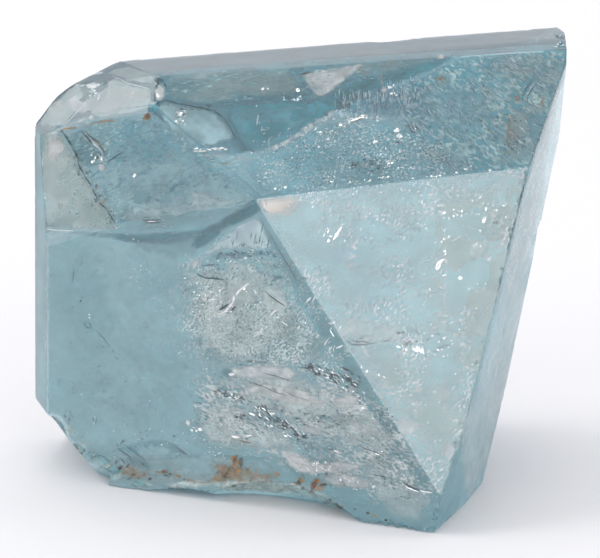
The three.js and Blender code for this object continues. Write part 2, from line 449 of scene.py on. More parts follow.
SHEETS = [
    ("slate", 0.34, 1.8, 1, [(-29.38, 8.06, 25.9), (-15.97, 2.52, 28.91), (-4.67, -2.16, 32.46), (-2.47, -3.07, 31.86), (-0.18, -4.02, 29.43), (4.28, -5.89, 23.15), (11.21, -8.8, 12.65), (17.64, -11.5, 3.14), (18.25, -11.78, -3.93), (-17.67, 3.12, -7.48), (-24.12, 5.81, -1.72), (-30.09, 8.3, 3.03)]),
    ("tide", 0.56, 0.6, 2, [(-28.46, 0.21, 26.28), (-16.86, -4.65, 28.92), (-5.23, -9.52, 32.1), (-2.58, -10.63, 31.96), (0.34, -11.85, 27.05), (5.22, -13.89, 19.73), (11.64, -16.58, 9.96), (15.91, -18.37, 4.21), (14.35, -17.72, 0.45), (0.15, -11.78, -0.74), (-18.47, -3.98, -1.45), (-23.75, -1.77, 2.15), (-29.08, 0.46, 5.78)]),
    ("dusk", 0.16, 2.0, 3, [(-28.33, 1.49, 26.3), (-17.77, -2.93, 26.97), (-10.59, -5.93, 26.89), (-9.04, -6.58, 20.87), (-10.13, -6.13, 13.42), (-10.82, -5.84, 6.96), (-14.04, -4.5, 0.01), (-18.31, -2.72, -1.73), (-23.61, -0.5, 1.89), (-28.99, 1.75, 4.43)]),
    ("grain_up", 0.05, 1.5, 4, [(-28.47, 0.07, 26.51), (-17.94, -4.34, 27.18), (-10.78, -7.33, 27.1), (-9.23, -7.98, 21.11), (-10.33, -7.53, 13.68), (-11.01, -7.24, 7.24), (-14.23, -5.9, 0.32), (-18.48, -4.11, -1.42), (-23.76, -1.9, 2.18), (-29.13, 0.35, 4.71)]),
    ("shade_up", 0.05, 1.5, 5, [(-28.47, 0.05, 26.51), (-17.94, -4.36, 27.18), (-10.79, -7.35, 27.11), (-9.23, -8.0, 21.11), (-10.33, -7.54, 13.68), (-11.02, -7.26, 7.24), (-14.23, -5.91, 0.32), (-18.49, -4.13, -1.42), (-23.77, -1.92, 2.18), (-29.13, 0.33, 4.71)]),
    ("dusk", 0.34, 0.5, 6, [(-22.1, -1.74, 4.75), (-19.13, -2.99, 3.97), (-17.46, -3.69, 2.26), (-18.55, -3.23, 0.79), (-20.05, -2.61, 0.78), (-21.52, -1.99, 2.1)]),
    ("deep", 0.22, 0.12, 7, [(-4.18, -10.13, 30.83), (-3.0, -10.63, 29.74), (0.32, -12.02, 24.45), (4.22, -13.65, 18.42), (8.13, -15.29, 12.18), (12.23, -17.01, 6.18), (13.6, -17.58, 3.9), (12.64, -17.18, 3.96), (10.7, -16.37, 5.95), (6.59, -14.64, 11.97), (2.67, -13.0, 18.23), (-1.25, -11.36, 24.28), (-3.6, -10.38, 28.47)]),
    ("dusk", 0.24, 2.0, 8, [(-28.47, 0.07, 26.51), (-20.43, -3.29, 26.92), (-18.28, -4.2, 20.06), (-19.08, -3.86, 11.49), (-21.56, -2.82, 4.68), (-24.85, -1.45, 2.02), (-29.13, 0.35, 4.71)]),
    ("deep", 1.0, 0.12, 9, [(-4.17, -10.12, 31.93), (-3.68, -10.32, 30.87), (-4.57, -9.95, 29.98), (-6.16, -9.29, 29.11), (-7.56, -8.7, 28.06), (-9.08, -8.07, 26.67), (-10.09, -7.64, 26.16), (-10.79, -7.35, 26.49), (-10.38, -7.52, 27.35), (-9.16, -8.03, 28.5), (-7.55, -8.7, 29.78), (-5.95, -9.37, 30.75)]),
    ("deep", 0.75, 0.15, 10, [(-3.98, -10.22, 32.25), (-3.59, -10.38, 31.09), (-4.77, -9.89, 30.06), (-6.16, -9.3, 29.42), (-7.36, -8.8, 28.89), (-7.95, -8.55, 29.44), (-6.55, -9.14, 30.49), (-5.16, -9.72, 31.43)]),
    ("deep", 0.7, 0.2, 11, [(-24.21, -1.73, 26.84), (-18.15, -4.27, 27.06), (-13.82, -6.08, 27.61), (-10.17, -7.61, 28.29), (-7.55, -8.7, 29.48), (-5.16, -9.71, 30.93), (-4.97, -9.79, 30.34), (-7.56, -8.7, 28.46), (-9.78, -7.77, 27.21), (-12.82, -6.5, 26.28), (-15.89, -5.21, 26.26), (-20.03, -3.48, 26.34), (-24.23, -1.72, 26.22)]),
    ("deep", 0.42, 0.8, 12, [(-18.76, -3.92, 26.88), (-12.79, -6.42, 27.8), (-8.75, -8.12, 28.53), (-8.36, -8.28, 27.35), (-10.19, -7.51, 25.52), (-12.84, -6.4, 24.61), (-16.92, -4.69, 25.83)]),
    ("opal", 1.0, 0.2, 13, [(-4.08, -10.16, 30.33), (-3.3, -10.49, 29.31), (-2.52, -10.81, 27.47), (-3.01, -10.61, 26.91), (-5.68, -9.49, 26.73), (-7.38, -8.78, 26.35), (-8.69, -8.23, 25.69), (-10.21, -7.59, 24.91), (-10.92, -7.29, 24.43), (-9.18, -8.02, 26.25), (-7.57, -8.7, 27.75), (-6.16, -9.29, 29.01)]),
    ("deep", 0.62, 0.15, 14, [(-9.29, -7.94, 25.62), (-8.18, -8.41, 26.05), (-6.78, -8.99, 26.2), (-5.28, -9.62, 26.56), (-3.99, -10.16, 26.8), (-2.81, -10.66, 26.83), (-1.73, -11.11, 26.64), (-1.83, -11.07, 26.23), (-3.6, -10.32, 26.24), (-5.38, -9.58, 25.94), (-6.98, -8.91, 25.67), (-8.38, -8.32, 25.41)]),
    ("sky", 0.85, 0.25, 15, [(-1.15, -11.39, 24.89), (-0.46, -11.67, 24.56), (0.13, -11.92, 23.41), (0.32, -12.0, 22.52), (-0.27, -11.76, 22.96), (-0.85, -11.51, 23.91)]),
    ("blue", 0.55, 0.4, 16, [(-0.65, -11.58, 24.13), (0.32, -11.99, 22.62), (1.89, -12.64, 20.37), (3.85, -13.46, 17.34), (5.22, -14.03, 15.27), (4.63, -13.79, 15.4), (2.48, -12.89, 17.89), (0.52, -12.07, 20.71), (-0.66, -11.57, 22.51)]),
    ("grain_up", 0.68, 3.2, 17, [(-12.63, -6.54, 25.26), (-5.77, -9.41, 27.02), (-0.84, -11.48, 27.54), (1.89, -12.62, 24.01), (4.61, -13.76, 20.49), (5.21, -14.01, 17.1), (0.72, -12.14, 13.65), (-7.48, -8.7, 12.79), (-12.37, -6.65, 14.26), (-13.32, -6.25, 19.59)]),
    ("shade_up", 0.2, 1.8, 18, [(-12.63, -6.58, 25.27), (-5.78, -9.45, 26.41), (-1.63, -11.18, 26.46), (1.1, -12.33, 22.31), (3.65, -13.39, 18.14), (3.07, -13.15, 15.61), (-1.86, -11.09, 14.57), (-7.88, -8.57, 14.0), (-11.13, -7.21, 15.47), (-11.69, -6.97, 19.79)]),
    ("cream", 0.95, 1.8, 19, [(-10.21, -7.54, 24.29), (-5.78, -9.39, 25.69), (-2.81, -10.64, 25.92), (-1.24, -11.3, 23.66), (0.13, -11.87, 20.97), (-1.05, -11.38, 17.44), (-3.64, -10.29, 15.36), (-7.46, -8.69, 14.88), (-10.1, -7.59, 15.59), (-10.66, -7.35, 19.9)]),
    ("cream", 0.7, 1.4, 20, [(-10.83, -5.62, 21.67), (-6.56, -7.41, 24.21), (-1.59, -9.49, 21.7), (1.37, -10.73, 17.43), (0.39, -10.32, 14.52), (-6.02, -7.64, 13.7), (-10.7, -5.68, 15.41)]),
    ("smoke", 0.4, 0.7, 21, [(-1.44, -11.2, 21.19), (0.72, -12.1, 20.42), (2.68, -12.92, 18.01), (3.47, -13.25, 16.47), (1.71, -12.51, 15.63), (-0.85, -11.44, 16.75), (-2.23, -10.86, 18.84)]),
    ("deep", 0.25, 0.6, 22, [(-1.38, -10.82, 22.35), (0.59, -11.64, 20.95), (3.14, -12.71, 17.17), (1.97, -12.22, 16.61), (-0.59, -11.15, 19.37), (-1.97, -10.57, 21.26)]),
    ("frost", 1.0, 0.39, 23, [(-6.87, -9.05, 14.56), (-3.66, -10.4, 15.18), (-0.67, -11.65, 15.14), (0.41, -12.1, 14.46), (-0.87, -11.56, 13.77), (-3.66, -10.4, 13.51), (-5.87, -9.47, 13.33), (-6.68, -9.13, 13.85)]),
    ("frost", 0.95, 0.33, 24, [(-5.57, -9.6, 12.64), (-3.66, -10.4, 13.2), (-0.87, -11.56, 13.26), (0.91, -12.31, 12.97), (2.58, -13.01, 12.06), (2.29, -12.89, 11.6), (0.12, -11.98, 11.21), (-2.27, -10.98, 11.51), (-4.27, -10.14, 11.97), (-6.08, -9.38, 12.05)]),
    ("frost", 0.85, 0.33, 25, [(3.17, -13.26, 12.55), (4.63, -13.87, 13.36), (5.99, -14.44, 13.13), (6.19, -14.52, 12.54), (5.03, -14.04, 11.87), (3.66, -13.46, 11.79)]),
    ("frost", 0.7, 0.52, 26, [(-0.28, -11.81, 9.17), (1.3, -12.48, 9.6), (3.08, -13.22, 9.22), (3.67, -13.47, 8.68), (2.1, -12.81, 8.36), (0.31, -12.06, 8.42)]),
    ("frost", 0.6, 0.65, 27, [(5.03, -14.04, 10.53), (7.17, -14.93, 10.41), (8.34, -15.42, 9.55), (7.18, -14.94, 8.97), (5.43, -14.2, 9.34)]),
    ("frost", 0.75, 0.5, 28, [(-1.59, -11.29, 6.05), (-0.29, -11.84, 6.45), (1.7, -12.67, 5.48), (4.46, -13.83, 5.99), (6.03, -14.48, 5.7), (4.08, -13.66, 4.78), (1.7, -12.67, 4.53), (-0.09, -11.92, 4.59)]),
    ("frost", 1.0, 0.26, 29, [(-1.98, -11.1, 6.31), (-0.68, -11.65, 6.71), (1.31, -12.48, 5.84), (2.3, -12.89, 5.67), (4.27, -13.72, 6.27), (5.64, -14.29, 6.15), (6.43, -14.62, 5.64), (5.06, -14.05, 5.02), (3.29, -13.31, 4.66), (1.91, -12.73, 4.45), (0.12, -11.98, 4.19), (-1.08, -11.48, 4.86)]),
    ("frost", 0.75, 0.39, 30, [(2.3, -12.9, 4.51), (4.67, -13.89, 5.07), (6.43, -14.63, 4.71), (7.8, -15.2, 4.28), (6.83, -14.79, 3.51), (4.09, -13.64, 3.31), (2.31, -12.9, 3.57)]),
    ("grain_down", 0.62, 3.0, 31, [(-12.36, -6.67, 14.89), (-5.85, -9.4, 15.51), (3.07, -13.14, 17.04), (7.53, -15.01, 15.37), (11.41, -16.63, 10.99), (14.92, -18.1, 5.33), (14.4, -17.88, 1.53), (8.03, -15.21, 2.0), (2.12, -12.74, 3.2), (-1.87, -11.07, 4.3), (-7.95, -8.52, 5.33), (-11.0, -7.24, 8.3)]),
    ("shade_down", 0.16, 1.4, 32, [(-11.96, -6.88, 14.32), (-5.86, -9.43, 14.05), (2.09, -12.76, 14.26), (6.0, -14.4, 12.71), (9.51, -15.87, 9.49), (13.02, -17.34, 4.23), (12.28, -17.03, 2.04), (7.04, -14.83, 3.11), (2.12, -12.77, 3.0), (-1.27, -11.35, 6.51), (-7.96, -8.56, 5.33), (-11.01, -7.28, 8.31)]),
    ("cream", 0.9, 0.8, 33, [(-10.36, -7.48, 9.98), (-5.87, -9.36, 10.69), (-3.66, -10.28, 9.31), (0.13, -11.87, 7.74), (-0.86, -11.45, 6.34), (-4.89, -9.77, 5.97), (-8.76, -8.15, 5.84), (-10.6, -7.38, 7.29)]),
    ("cream", 0.95, 0.9, 34, [(-6.26, -9.2, 13.99), (0.13, -11.87, 14.4), (5.04, -13.92, 13.39), (8.16, -15.23, 10.94), (10.3, -16.13, 8.15), (7.99, -15.16, 7.61), (3.1, -13.12, 8.16), (-1.86, -11.04, 9.56), (-5.87, -9.36, 11.11)]),
    ("cream", 0.6, 0.8, 35, [(6.05, -14.3, 7.53), (10.91, -16.33, 6.16), (13.06, -17.23, 3.38), (11.93, -16.76, 0.91), (9.03, -15.54, 1.09), (6.67, -14.56, 3.45)]),
    ("deep", 0.42, 0.4, 36, [(-3.66, -10.3, 10.99), (-1.66, -11.14, 11.05), (1.12, -12.3, 10.8), (4.56, -13.74, 11.07), (6.6, -14.6, 11.14), (8.16, -15.25, 10.12), (6.61, -14.6, 10.32), (4.07, -13.54, 9.96), (1.32, -12.39, 9.58), (-0.86, -11.47, 10.32)]),
    ("deep", 0.36, 0.5, 37, [(0.13, -11.89, 7.74), (3.1, -13.13, 7.54), (6.63, -14.61, 7.42), (9.54, -15.83, 7.22), (10.9, -16.4, 5.76), (8.78, -15.51, 5.86), (5.27, -14.04, 6.39), (1.92, -12.64, 6.53)]),
    ("deep", 0.3, 0.5, 38, [(-8.49, -8.24, 12.65), (-6.66, -9.01, 13.1), (-3.65, -10.27, 11.82), (0.14, -11.86, 10.66), (0.73, -12.1, 9.91), (-1.85, -11.02, 10.18), (-5.46, -9.51, 11.16), (-7.69, -8.58, 11.49)]),
    ("blue", 0.55, 0.4, 39, [(-19.2, -3.76, 5.0), (-17.09, -4.64, 4.65), (-14.59, -5.69, 3.28), (-14.19, -5.86, 2.26), (-16.29, -4.98, 2.38), (-18.18, -4.19, 3.19)]),
    ("deep", 0.55, 0.25, 40, [(-17.75, -4.42, 3.92), (-16.91, -4.77, 3.61), (-15.44, -5.38, 2.95), (-14.51, -5.78, 2.22), (-15.67, -5.29, 2.16), (-16.92, -4.77, 2.85)]),
    ("pale", 0.3, 0.5, 41, [(-16.26, -5.06, 4.57), (-13.55, -6.19, 3.66), (-10.44, -7.5, 3.04), (-7.77, -8.62, 3.01), (-9.42, -7.92, 2.12), (-12.53, -6.62, 2.09), (-14.81, -5.67, 3.26)]),
    ("aqua", 0.62, 0.8, 42, [(-19.45, -3.71, 3.67), (-13.12, -6.36, 4.8), (-6.93, -8.95, 5.15), (-2.88, -10.65, 5.42), (-1.87, -11.07, 4.3), (-4.91, -9.8, 2.57), (-12.12, -6.77, 1.06), (-18.45, -4.12, 0.11)]),
    ("sage", 0.45, 0.3, 43, [(-15.26, -5.53, 1.91), (-11.08, -7.28, 2.53), (-8.6, -8.32, 2.47), (-3.7, -10.37, 3.2), (0.12, -11.97, 3.34), (3.1, -13.22, 2.74), (5.08, -14.05, 1.77), (4.1, -13.64, 1.2), (1.12, -12.39, 1.59), (-1.89, -11.13, 1.98), (-6.97, -9.0, 1.21), (-11.1, -7.27, 0.8), (-14.23, -5.96, 0.55)]),
    ("tide", 0.5, 0.3, 44, [(-25.0, 1.0, 37.11), (-18.9, -1.51, 39.05), (-14.16, -3.49, 40.45), (-9.21, -6.57, 37.04), (-5.73, -8.8, 34.31), (-2.59, -10.89, 31.49), (-6.24, -9.63, 29.17), (-9.74, -8.25, 27.72), (-18.75, -4.31, 25.91), (-20.19, -2.92, 29.29), (-21.65, -1.78, 31.41), (-23.12, -0.72, 33.13)]),
    ("blue", 0.45, 0.3, 45, [(-24.96, 1.38, 37.03), (-18.85, -1.14, 38.97), (-14.1, -3.12, 40.37), (-9.15, -6.19, 36.96), (-5.67, -8.43, 34.23), (-2.52, -10.52, 31.4), (-6.17, -9.26, 29.09), (-9.68, -7.88, 27.63), (-18.7, -3.94, 25.82), (-20.15, -2.55, 29.21), (-21.6, -1.41, 31.32), (-23.07, -0.35, 33.05)]),
    ("shade_flat", 0.28, 0.3, 46, [(-23.53, 0.11, 36.57), (-18.91, -1.84, 37.79), (-14.58, -3.63, 39.16), (-10.73, -6.04, 36.43), (-7.53, -8.05, 34.14), (-5.35, -9.44, 32.45), (-10.74, -6.9, 32.27), (-16.87, -4.14, 31.43), (-19.16, -3.46, 29.42), (-20.61, -2.39, 31.24), (-22.07, -1.27, 33.26)]),
    ("shade_flat", 0.15, 0.4, 47, [(-25.01, 0.92, 37.13), (-18.91, -1.6, 39.07), (-14.17, -3.58, 40.46), (-9.23, -6.65, 37.06), (-5.75, -8.88, 34.33), (-2.6, -10.97, 31.51), (-6.25, -9.71, 29.19), (-9.75, -8.33, 27.74), (-18.76, -4.4, 25.93), (-20.21, -3.0, 29.31), (-21.66, -1.87, 31.43), (-23.13, -0.81, 33.15)]),
    ("grain_flat", 0.26, 0.3, 48, [(-25.01, 0.95, 37.12), (-18.9, -1.56, 39.06), (-14.16, -3.54, 40.46), (-9.22, -6.62, 37.05), (-5.74, -8.85, 34.32), (-2.59, -10.94, 31.5), (-6.24, -9.68, 29.19), (-9.74, -8.3, 27.73), (-18.76, -4.36, 25.92), (-20.2, -2.97, 29.3), (-21.66, -1.83, 31.42), (-23.12, -0.77, 33.15)]),
    ("aqua", 0.5, 0.5, 49, [(-19.97, -2.24, 33.26), (-13.77, -4.91, 34.67), (-9.72, -6.77, 35.07), (-5.74, -9.11, 32.98), (-2.98, -10.71, 31.64), (-6.24, -9.6, 29.47), (-9.74, -8.21, 28.11), (-18.96, -4.17, 26.29), (-19.99, -2.99, 29.62)]),
    ("blue", 0.5, 0.8, 50, [(-18.91, -1.81, 37.78), (-14.58, -3.6, 39.16), (-11.13, -5.76, 36.67), (-10.13, -6.54, 35.22), (-13.78, -5.03, 34.08), (-18.92, -2.55, 34.15)]),
    ("dusk", 0.35, 0.6, 51, [(-23.19, 0.98, 36.08), (-17.74, -1.3, 37.68), (-14.43, -2.69, 38.57), (-11.99, -4.19, 36.95), (-11.59, -4.86, 34.66), (-15.69, -3.15, 33.47), (-20.26, -1.22, 32.22), (-21.73, -0.31, 33.25)]),
    ("deep", 0.6, 0.25, 52, [(-23.53, 0.09, 36.27), (-22.05, -0.53, 36.7), (-20.9, -1.28, 35.73), (-19.55, -2.09, 34.98), (-19.55, -2.23, 34.29), (-21.02, -1.78, 33.06), (-22.07, -1.24, 33.25), (-22.9, -0.53, 34.75)]),
    ("opal", 0.6, 1.2, 53, [(-17.08, -4.37, 29.84), (-14.81, -5.26, 30.77), (-12.16, -6.41, 31.34), (-9.74, -7.48, 31.8), (-7.53, -8.53, 31.84), (-5.75, -9.46, 31.45), (-7.14, -9.03, 30.34), (-10.15, -7.85, 29.04), (-12.58, -6.81, 28.48), (-16.88, -4.87, 27.9), (-18.12, -4.18, 28.35)]),
    ("opal", 0.62, 1.1, 54, [(-11.96, -6.38, 31.95), (-9.13, -7.59, 32.63), (-6.14, -9.16, 31.98), (-5.15, -9.75, 31.42), (-7.14, -9.03, 30.34), (-10.14, -7.71, 29.72), (-11.56, -6.85, 30.63)]),
    ("tide", 0.55, 0.12, 55, [(-18.74, -3.78, 28.67), (-13.79, -5.86, 30.09), (-9.74, -7.83, 29.95), (-6.93, -9.02, 30.64), (-4.55, -9.91, 31.86), (-4.26, -10.14, 31.41), (-6.94, -9.18, 29.87), (-9.74, -8.09, 28.69), (-12.78, -6.74, 28.16), (-17.71, -4.56, 27.31)]),
    ("sage", 0.72, 0.25, 56, [(-26.62, 1.5, 36.29), (-24.06, 0.3, 36.43), (-23.12, -0.44, 35.04), (-22.39, -1.04, 33.82), (-21.97, -1.49, 32.58), (-20.82, -2.29, 31.42), (-20.1, -2.94, 29.92), (-19.16, -3.56, 29.13), (-18.13, -4.43, 27.28), (-26.68, -0.48, 26.62)]),
    ("sage", 0.55, 0.3, 57, [(-26.6, 1.63, 36.26), (-24.05, 0.44, 36.4), (-22.37, -0.91, 33.79), (-20.81, -2.15, 31.39), (-19.15, -3.42, 29.1), (-18.12, -4.3, 27.25), (-26.66, -0.35, 26.59)]),
    ("grain_flat", 0.3, 0.3, 58, [(-26.62, 1.46, 36.29), (-24.07, 0.27, 36.43), (-22.39, -1.07, 33.83), (-20.83, -2.32, 31.42), (-19.17, -3.59, 29.14), (-18.14, -4.47, 27.29), (-26.68, -0.51, 26.63)]),
    ("shade_up", 0.08, 0.3, 59, [(-26.62, 1.46, 36.29), (-24.07, 0.26, 36.44), (-22.39, -1.08, 33.83), (-20.83, -2.33, 31.43), (-19.17, -3.6, 29.14), (-18.14, -4.48, 27.29), (-26.68, -0.52, 26.63)]),
    ("snow", 0.95, 0.15, 60, [(-25.66, 0.94, 35.88), (-24.81, 0.59, 36.16), (-24.07, 0.17, 35.84), (-23.54, -0.26, 35.0), (-23.86, -0.26, 34.27), (-24.5, -0.05, 33.81), (-24.4, -0.2, 33.33), (-25.25, 0.09, 32.75), (-25.67, 0.49, 33.7)]),
    ("deep", 0.45, 0.25, 61, [(-26.65, -0.71, 26.59), (-24.21, -1.73, 26.84), (-21.06, -3.05, 26.96), (-17.94, -4.35, 26.97), (-18.05, -4.31, 26.55), (-22.12, -2.6, 26.33), (-26.67, -0.7, 26.07)]),
    ("deep", 0.6, 0.25, 62, [(-18.98, -3.92, 26.66), (-16.91, -4.79, 26.98), (-14.86, -5.65, 26.88), (-13.23, -6.33, 26.54), (-14.87, -5.64, 26.16), (-17.54, -4.52, 26.08)]),
    ("slate", 0.8, 0.12, 63, [(-26.75, 2.55, 36.08), (-25.62, -0.43, 36.69), (-25.65, -1.03, 25.5), (-26.12, -0.84, 8.35), (-27.43, 2.61, 7.47), (-27.08, 2.73, 24.56)]),
    ("snow", 1.0, 0.12, 64, [(-20.4, -2.09, 33.54), (-19.88, -2.28, 33.79), (-19.15, -2.66, 33.66), (-19.36, -2.66, 33.15), (-19.88, -2.49, 32.8), (-20.3, -2.21, 33.15)]),
    ("fog", 0.65, 0.2, 65, [(-26.59, 2.39, 36.67), (-25.24, 3.8, 38.99), (-24.01, 4.01, 39.98), (-22.37, 4.04, 40.75), (-21.57, 1.66, 39.6), (-22.15, 1.09, 38.69), (-23.76, 0.49, 36.95), (-25.26, 1.26, 36.59)]),
    ("fog", 0.75, 0.2, 66, [(-20.29, 0.86, 39.76), (-19.53, 1.75, 41.03), (-19.0, 2.97, 41.57), (-16.79, 0.22, 41.31), (-14.69, -1.34, 41.2), (-14.71, -3.19, 39.52), (-17.88, -2.17, 38.51), (-21.64, -0.41, 37.65), (-23.54, 0.26, 36.9), (-21.94, 0.95, 38.72)]),
    ("film", 0.45, 0.3, 67, [(-24.23, 1.59, 37.54), (-21.77, 1.86, 39.54), (-19.52, 1.82, 40.99), (-14.87, -1.35, 40.97), (-14.8, -3.07, 39.48), (-19.96, -1.03, 38.16)]),
    ("fog", 0.7, 0.2, 68, [(-19.69, 3.97, 41.59), (-18.71, 4.69, 42.08), (-17.01, 3.9, 42.43), (-14.2, 0.18, 42.26), (-14.69, -1.14, 41.36), (-16.8, 0.42, 41.48), (-18.78, 2.81, 41.59)]),
    ("snow", 1.0, 0.12, 69, [(-21.87, 3.02, 40.59), (-21.53, 3.89, 40.99), (-20.78, 4.77, 41.45), (-19.67, 2.25, 41.19), (-19.9, 1.0, 40.15), (-20.58, 0.44, 39.23), (-21.14, 1.37, 39.66), (-21.81, 2.09, 39.83)]),
    ("snow", 0.55, 0.2, 70, [(-23.74, 3.13, 39.43), (-22.47, 2.82, 40.0), (-21.78, 1.68, 39.5), (-20.87, 0.25, 38.85), (-21.69, 0.24, 38.24), (-23.2, 1.39, 38.22)]),
    ("peach", 0.35, 0.3, 71, [(-25.85, 3.65, 38.39), (-24.6, 3.59, 39.23), (-23.68, 2.45, 38.83), (-24.05, 1.77, 37.93), (-25.34, 2.42, 37.6)]),
    ("peach", 0.35, 0.3, 72, [(-17.59, -0.08, 40.55), (-15.95, -0.25, 41.4), (-14.68, -1.53, 41.03), (-14.83, -2.75, 39.84), (-16.7, -1.51, 39.8)]),
    ("snow", 0.95, 0.12, 73, [(-14.62, -1.73, 41.07), (-14.14, -1.17, 41.58), (-13.34, -1.28, 41.39), (-13.3, -2.14, 40.54), (-13.88, -2.71, 40.04), (-14.38, -2.58, 40.22)]),
    ("aqua", 0.85, 0.25, 74, [(-14.27, -2.98, 39.66), (-13.39, -2.56, 39.98), (-11.1, -2.71, 39.61), (-9.4, -2.83, 39.33), (-8.1, -3.24, 38.8), (-7.08, -4.1, 37.86), (-6.27, -5.14, 36.76), (-7.65, -5.51, 36.53), (-8.43, -5.91, 36.22), (-10.79, -6.11, 36.26), (-12.6, -5.24, 37.29)]),
    ("blue", 0.45, 0.4, 75, [(-15.1, 1.87, 43.18), (-7.06, 3.27, 43.76), (6.17, 5.48, 44.61), (20.62, 7.44, 45.11), (29.5, 8.84, 45.61), (30.28, 5.74, 42.5), (27.01, -0.7, 36.51), (24.67, -5.33, 32.2), (16.84, -6.64, 31.69), (9.89, -7.71, 31.33), (-3.67, -10.29, 30.13), (-6.23, -9.02, 31.64), (-10.23, -6.0, 34.99), (-14.29, -3.11, 38.22)]),
    ("shade_flat", 0.14, 0.4, 76, [(-14.39, -0.1, 42.58), (0.07, 2.19, 43.4), (13.31, 4.04, 43.9), (19.17, 4.72, 43.99), (10.17, 0.93, 41.17), (3.08, -1.76, 39.24), (-1.91, -5.43, 36.13), (-5.26, -6.39, 35.53), (-6.27, -5.11, 36.87), (-7.5, -2.99, 39.07), (-13.88, -2.84, 39.85)]),
    ("grain_flat", 0.16, 0.4, 77, [(-13.97, -0.4, 42.23), (0.07, 2.21, 43.39), (13.31, 4.05, 43.89), (13.29, 3.34, 43.19), (4.6, -0.22, 40.57), (1.07, -1.56, 39.6), (-7.12, -2.25, 39.73), (-13.89, -2.48, 40.18)]),
    ("sky", 0.5, 0.4, 78, [(-13.86, -3.4, 39.12), (-10.9, -2.81, 39.41), (-8.29, -3.45, 38.52), (-6.47, -5.18, 36.65), (-5.26, -6.6, 35.14), (-4.65, -8.06, 33.65), (-6.62, -7.39, 34.5), (-10.19, -6.34, 35.89), (-12.61, -5.01, 37.42)]),
    ("pale", 0.45, 0.3, 79, [(-10.58, -6.63, 35.77), (-8.42, -6.28, 35.9), (-5.85, -6.41, 35.52), (-3.68, -6.56, 35.15), (-4.66, -7.15, 34.68), (-7.22, -7.02, 35.05), (-9.58, -7.05, 35.26)]),
    ("teal", 0.95, 0.2, 80, [(-7.23, -1.92, 40.08), (-6.63, -1.78, 40.15), (-5.93, -1.89, 39.97), (-6.22, -2.18, 39.72), (-6.82, -2.23, 39.73)]),
    ("sage", 0.45, 0.12, 81, [(-13.18, -0.2, 42.41), (-6.98, 1.03, 43.0), (0.07, 2.16, 43.41), (6.16, 3.13, 43.76), (16.41, 4.72, 44.31), (26.13, 6.09, 44.69), (26.7, 5.51, 44.07), (20.5, 4.71, 43.89), (14.33, 3.83, 43.64), (6.15, 2.42, 43.06), (0.07, 1.37, 42.63), (-6.97, 0.15, 42.14), (-12.95, -1.06, 41.55)]),
    ("sea", 0.38, 0.5, 82, [(-13.78, -0.43, 42.0), (-6.99, 1.02, 42.75), (0.07, 1.8, 42.82), (0.67, -0.43, 40.57), (-1.94, -1.35, 39.93), (-6.93, -2.11, 39.67), (-9.51, -2.5, 39.55), (-13.5, -2.32, 40.12)]),
    ("sage", 0.4, 0.5, 83, [(-13.17, -0.44, 42.02), (-6.98, 0.79, 42.61), (-0.94, 1.48, 42.69), (0.07, 0.68, 41.81), (0.67, -0.49, 40.6), (-1.94, -1.15, 40.22), (-5.54, -1.37, 40.36), (-7.33, -2.04, 39.88), (-9.51, -2.39, 39.74), (-12.91, -2.16, 40.31)]),
    ("smoke", 0.42, 0.4, 84, [(-8.97, -0.31, 41.8), (-4.97, 0.74, 42.43), (-0.94, 1.08, 42.36), (0.07, 0.46, 41.66), (-0.33, -0.62, 40.64), (-3.74, -1.26, 40.35), (-6.34, -1.13, 40.73), (-8.54, -1.49, 40.6)]),
    ("deep", 0.3, 0.5, 85, [(-13.36, -0.66, 41.86), (-11.38, -0.15, 42.17), (-8.77, -0.1, 41.96), (-9.15, -1.0, 41.11), (-11.93, -1.59, 40.82)]),
    ("deep", 0.4, 0.4, 86, [(-2.75, 0.41, 41.87), (-1.14, 1.08, 42.36), (0.47, 0.51, 41.65), (0.87, -0.68, 40.44), (1.88, -1.12, 39.91), (0.07, -1.44, 39.77), (-1.93, -1.09, 40.32)]),
    ("lilac", 0.95, 0.2, 87, [(0.17, 0.98, 42.18), (2.09, 1.58, 42.58), (4.63, 2.15, 42.89), (7.17, 2.73, 43.2), (6.35, 2.04, 42.6), (4.71, 0.84, 41.59), (3.49, -0.14, 40.75), (2.48, -0.84, 40.17), (1.88, -0.89, 40.18), (0.98, -0.27, 40.88)]),
    ("peach", 0.3, 0.4, 88, [(0.07, 0.78, 42.02), (3.11, 1.74, 42.66), (6.15, 2.36, 42.96), (4.11, 0.77, 41.61), (2.08, -0.45, 40.61)]),
    ("rust", 0.34, 0.5, 89, [(3.61, 1.99, 42.81), (9.21, 3.18, 43.42), (14.34, 4.25, 43.96), (17.84, 4.82, 44.17), (14.32, 3.62, 43.35), (10.21, 2.56, 42.71), (6.34, 1.52, 42.08)]),
    ("smoke", 0.45, 0.4, 90, [(4.63, 2.1, 42.79), (10.23, 3.29, 43.4), (14.34, 4.17, 43.86), (18.05, 4.94, 44.25), (15.55, 3.92, 43.49), (12.25, 2.92, 42.85), (8.57, 1.73, 42.04), (6.13, 1.17, 41.73)]),
    ("deep", 0.6, 0.25, 91, [(3.68, -1.12, 39.83), (5.11, 0.31, 41.09), (7.35, 1.29, 41.83), (10.41, 2.25, 42.47), (13.49, 3.14, 43.03), (11.0, 1.69, 41.86), (8.55, 0.77, 41.21), (6.31, -0.29, 40.39), (4.69, -1.21, 39.64)]),
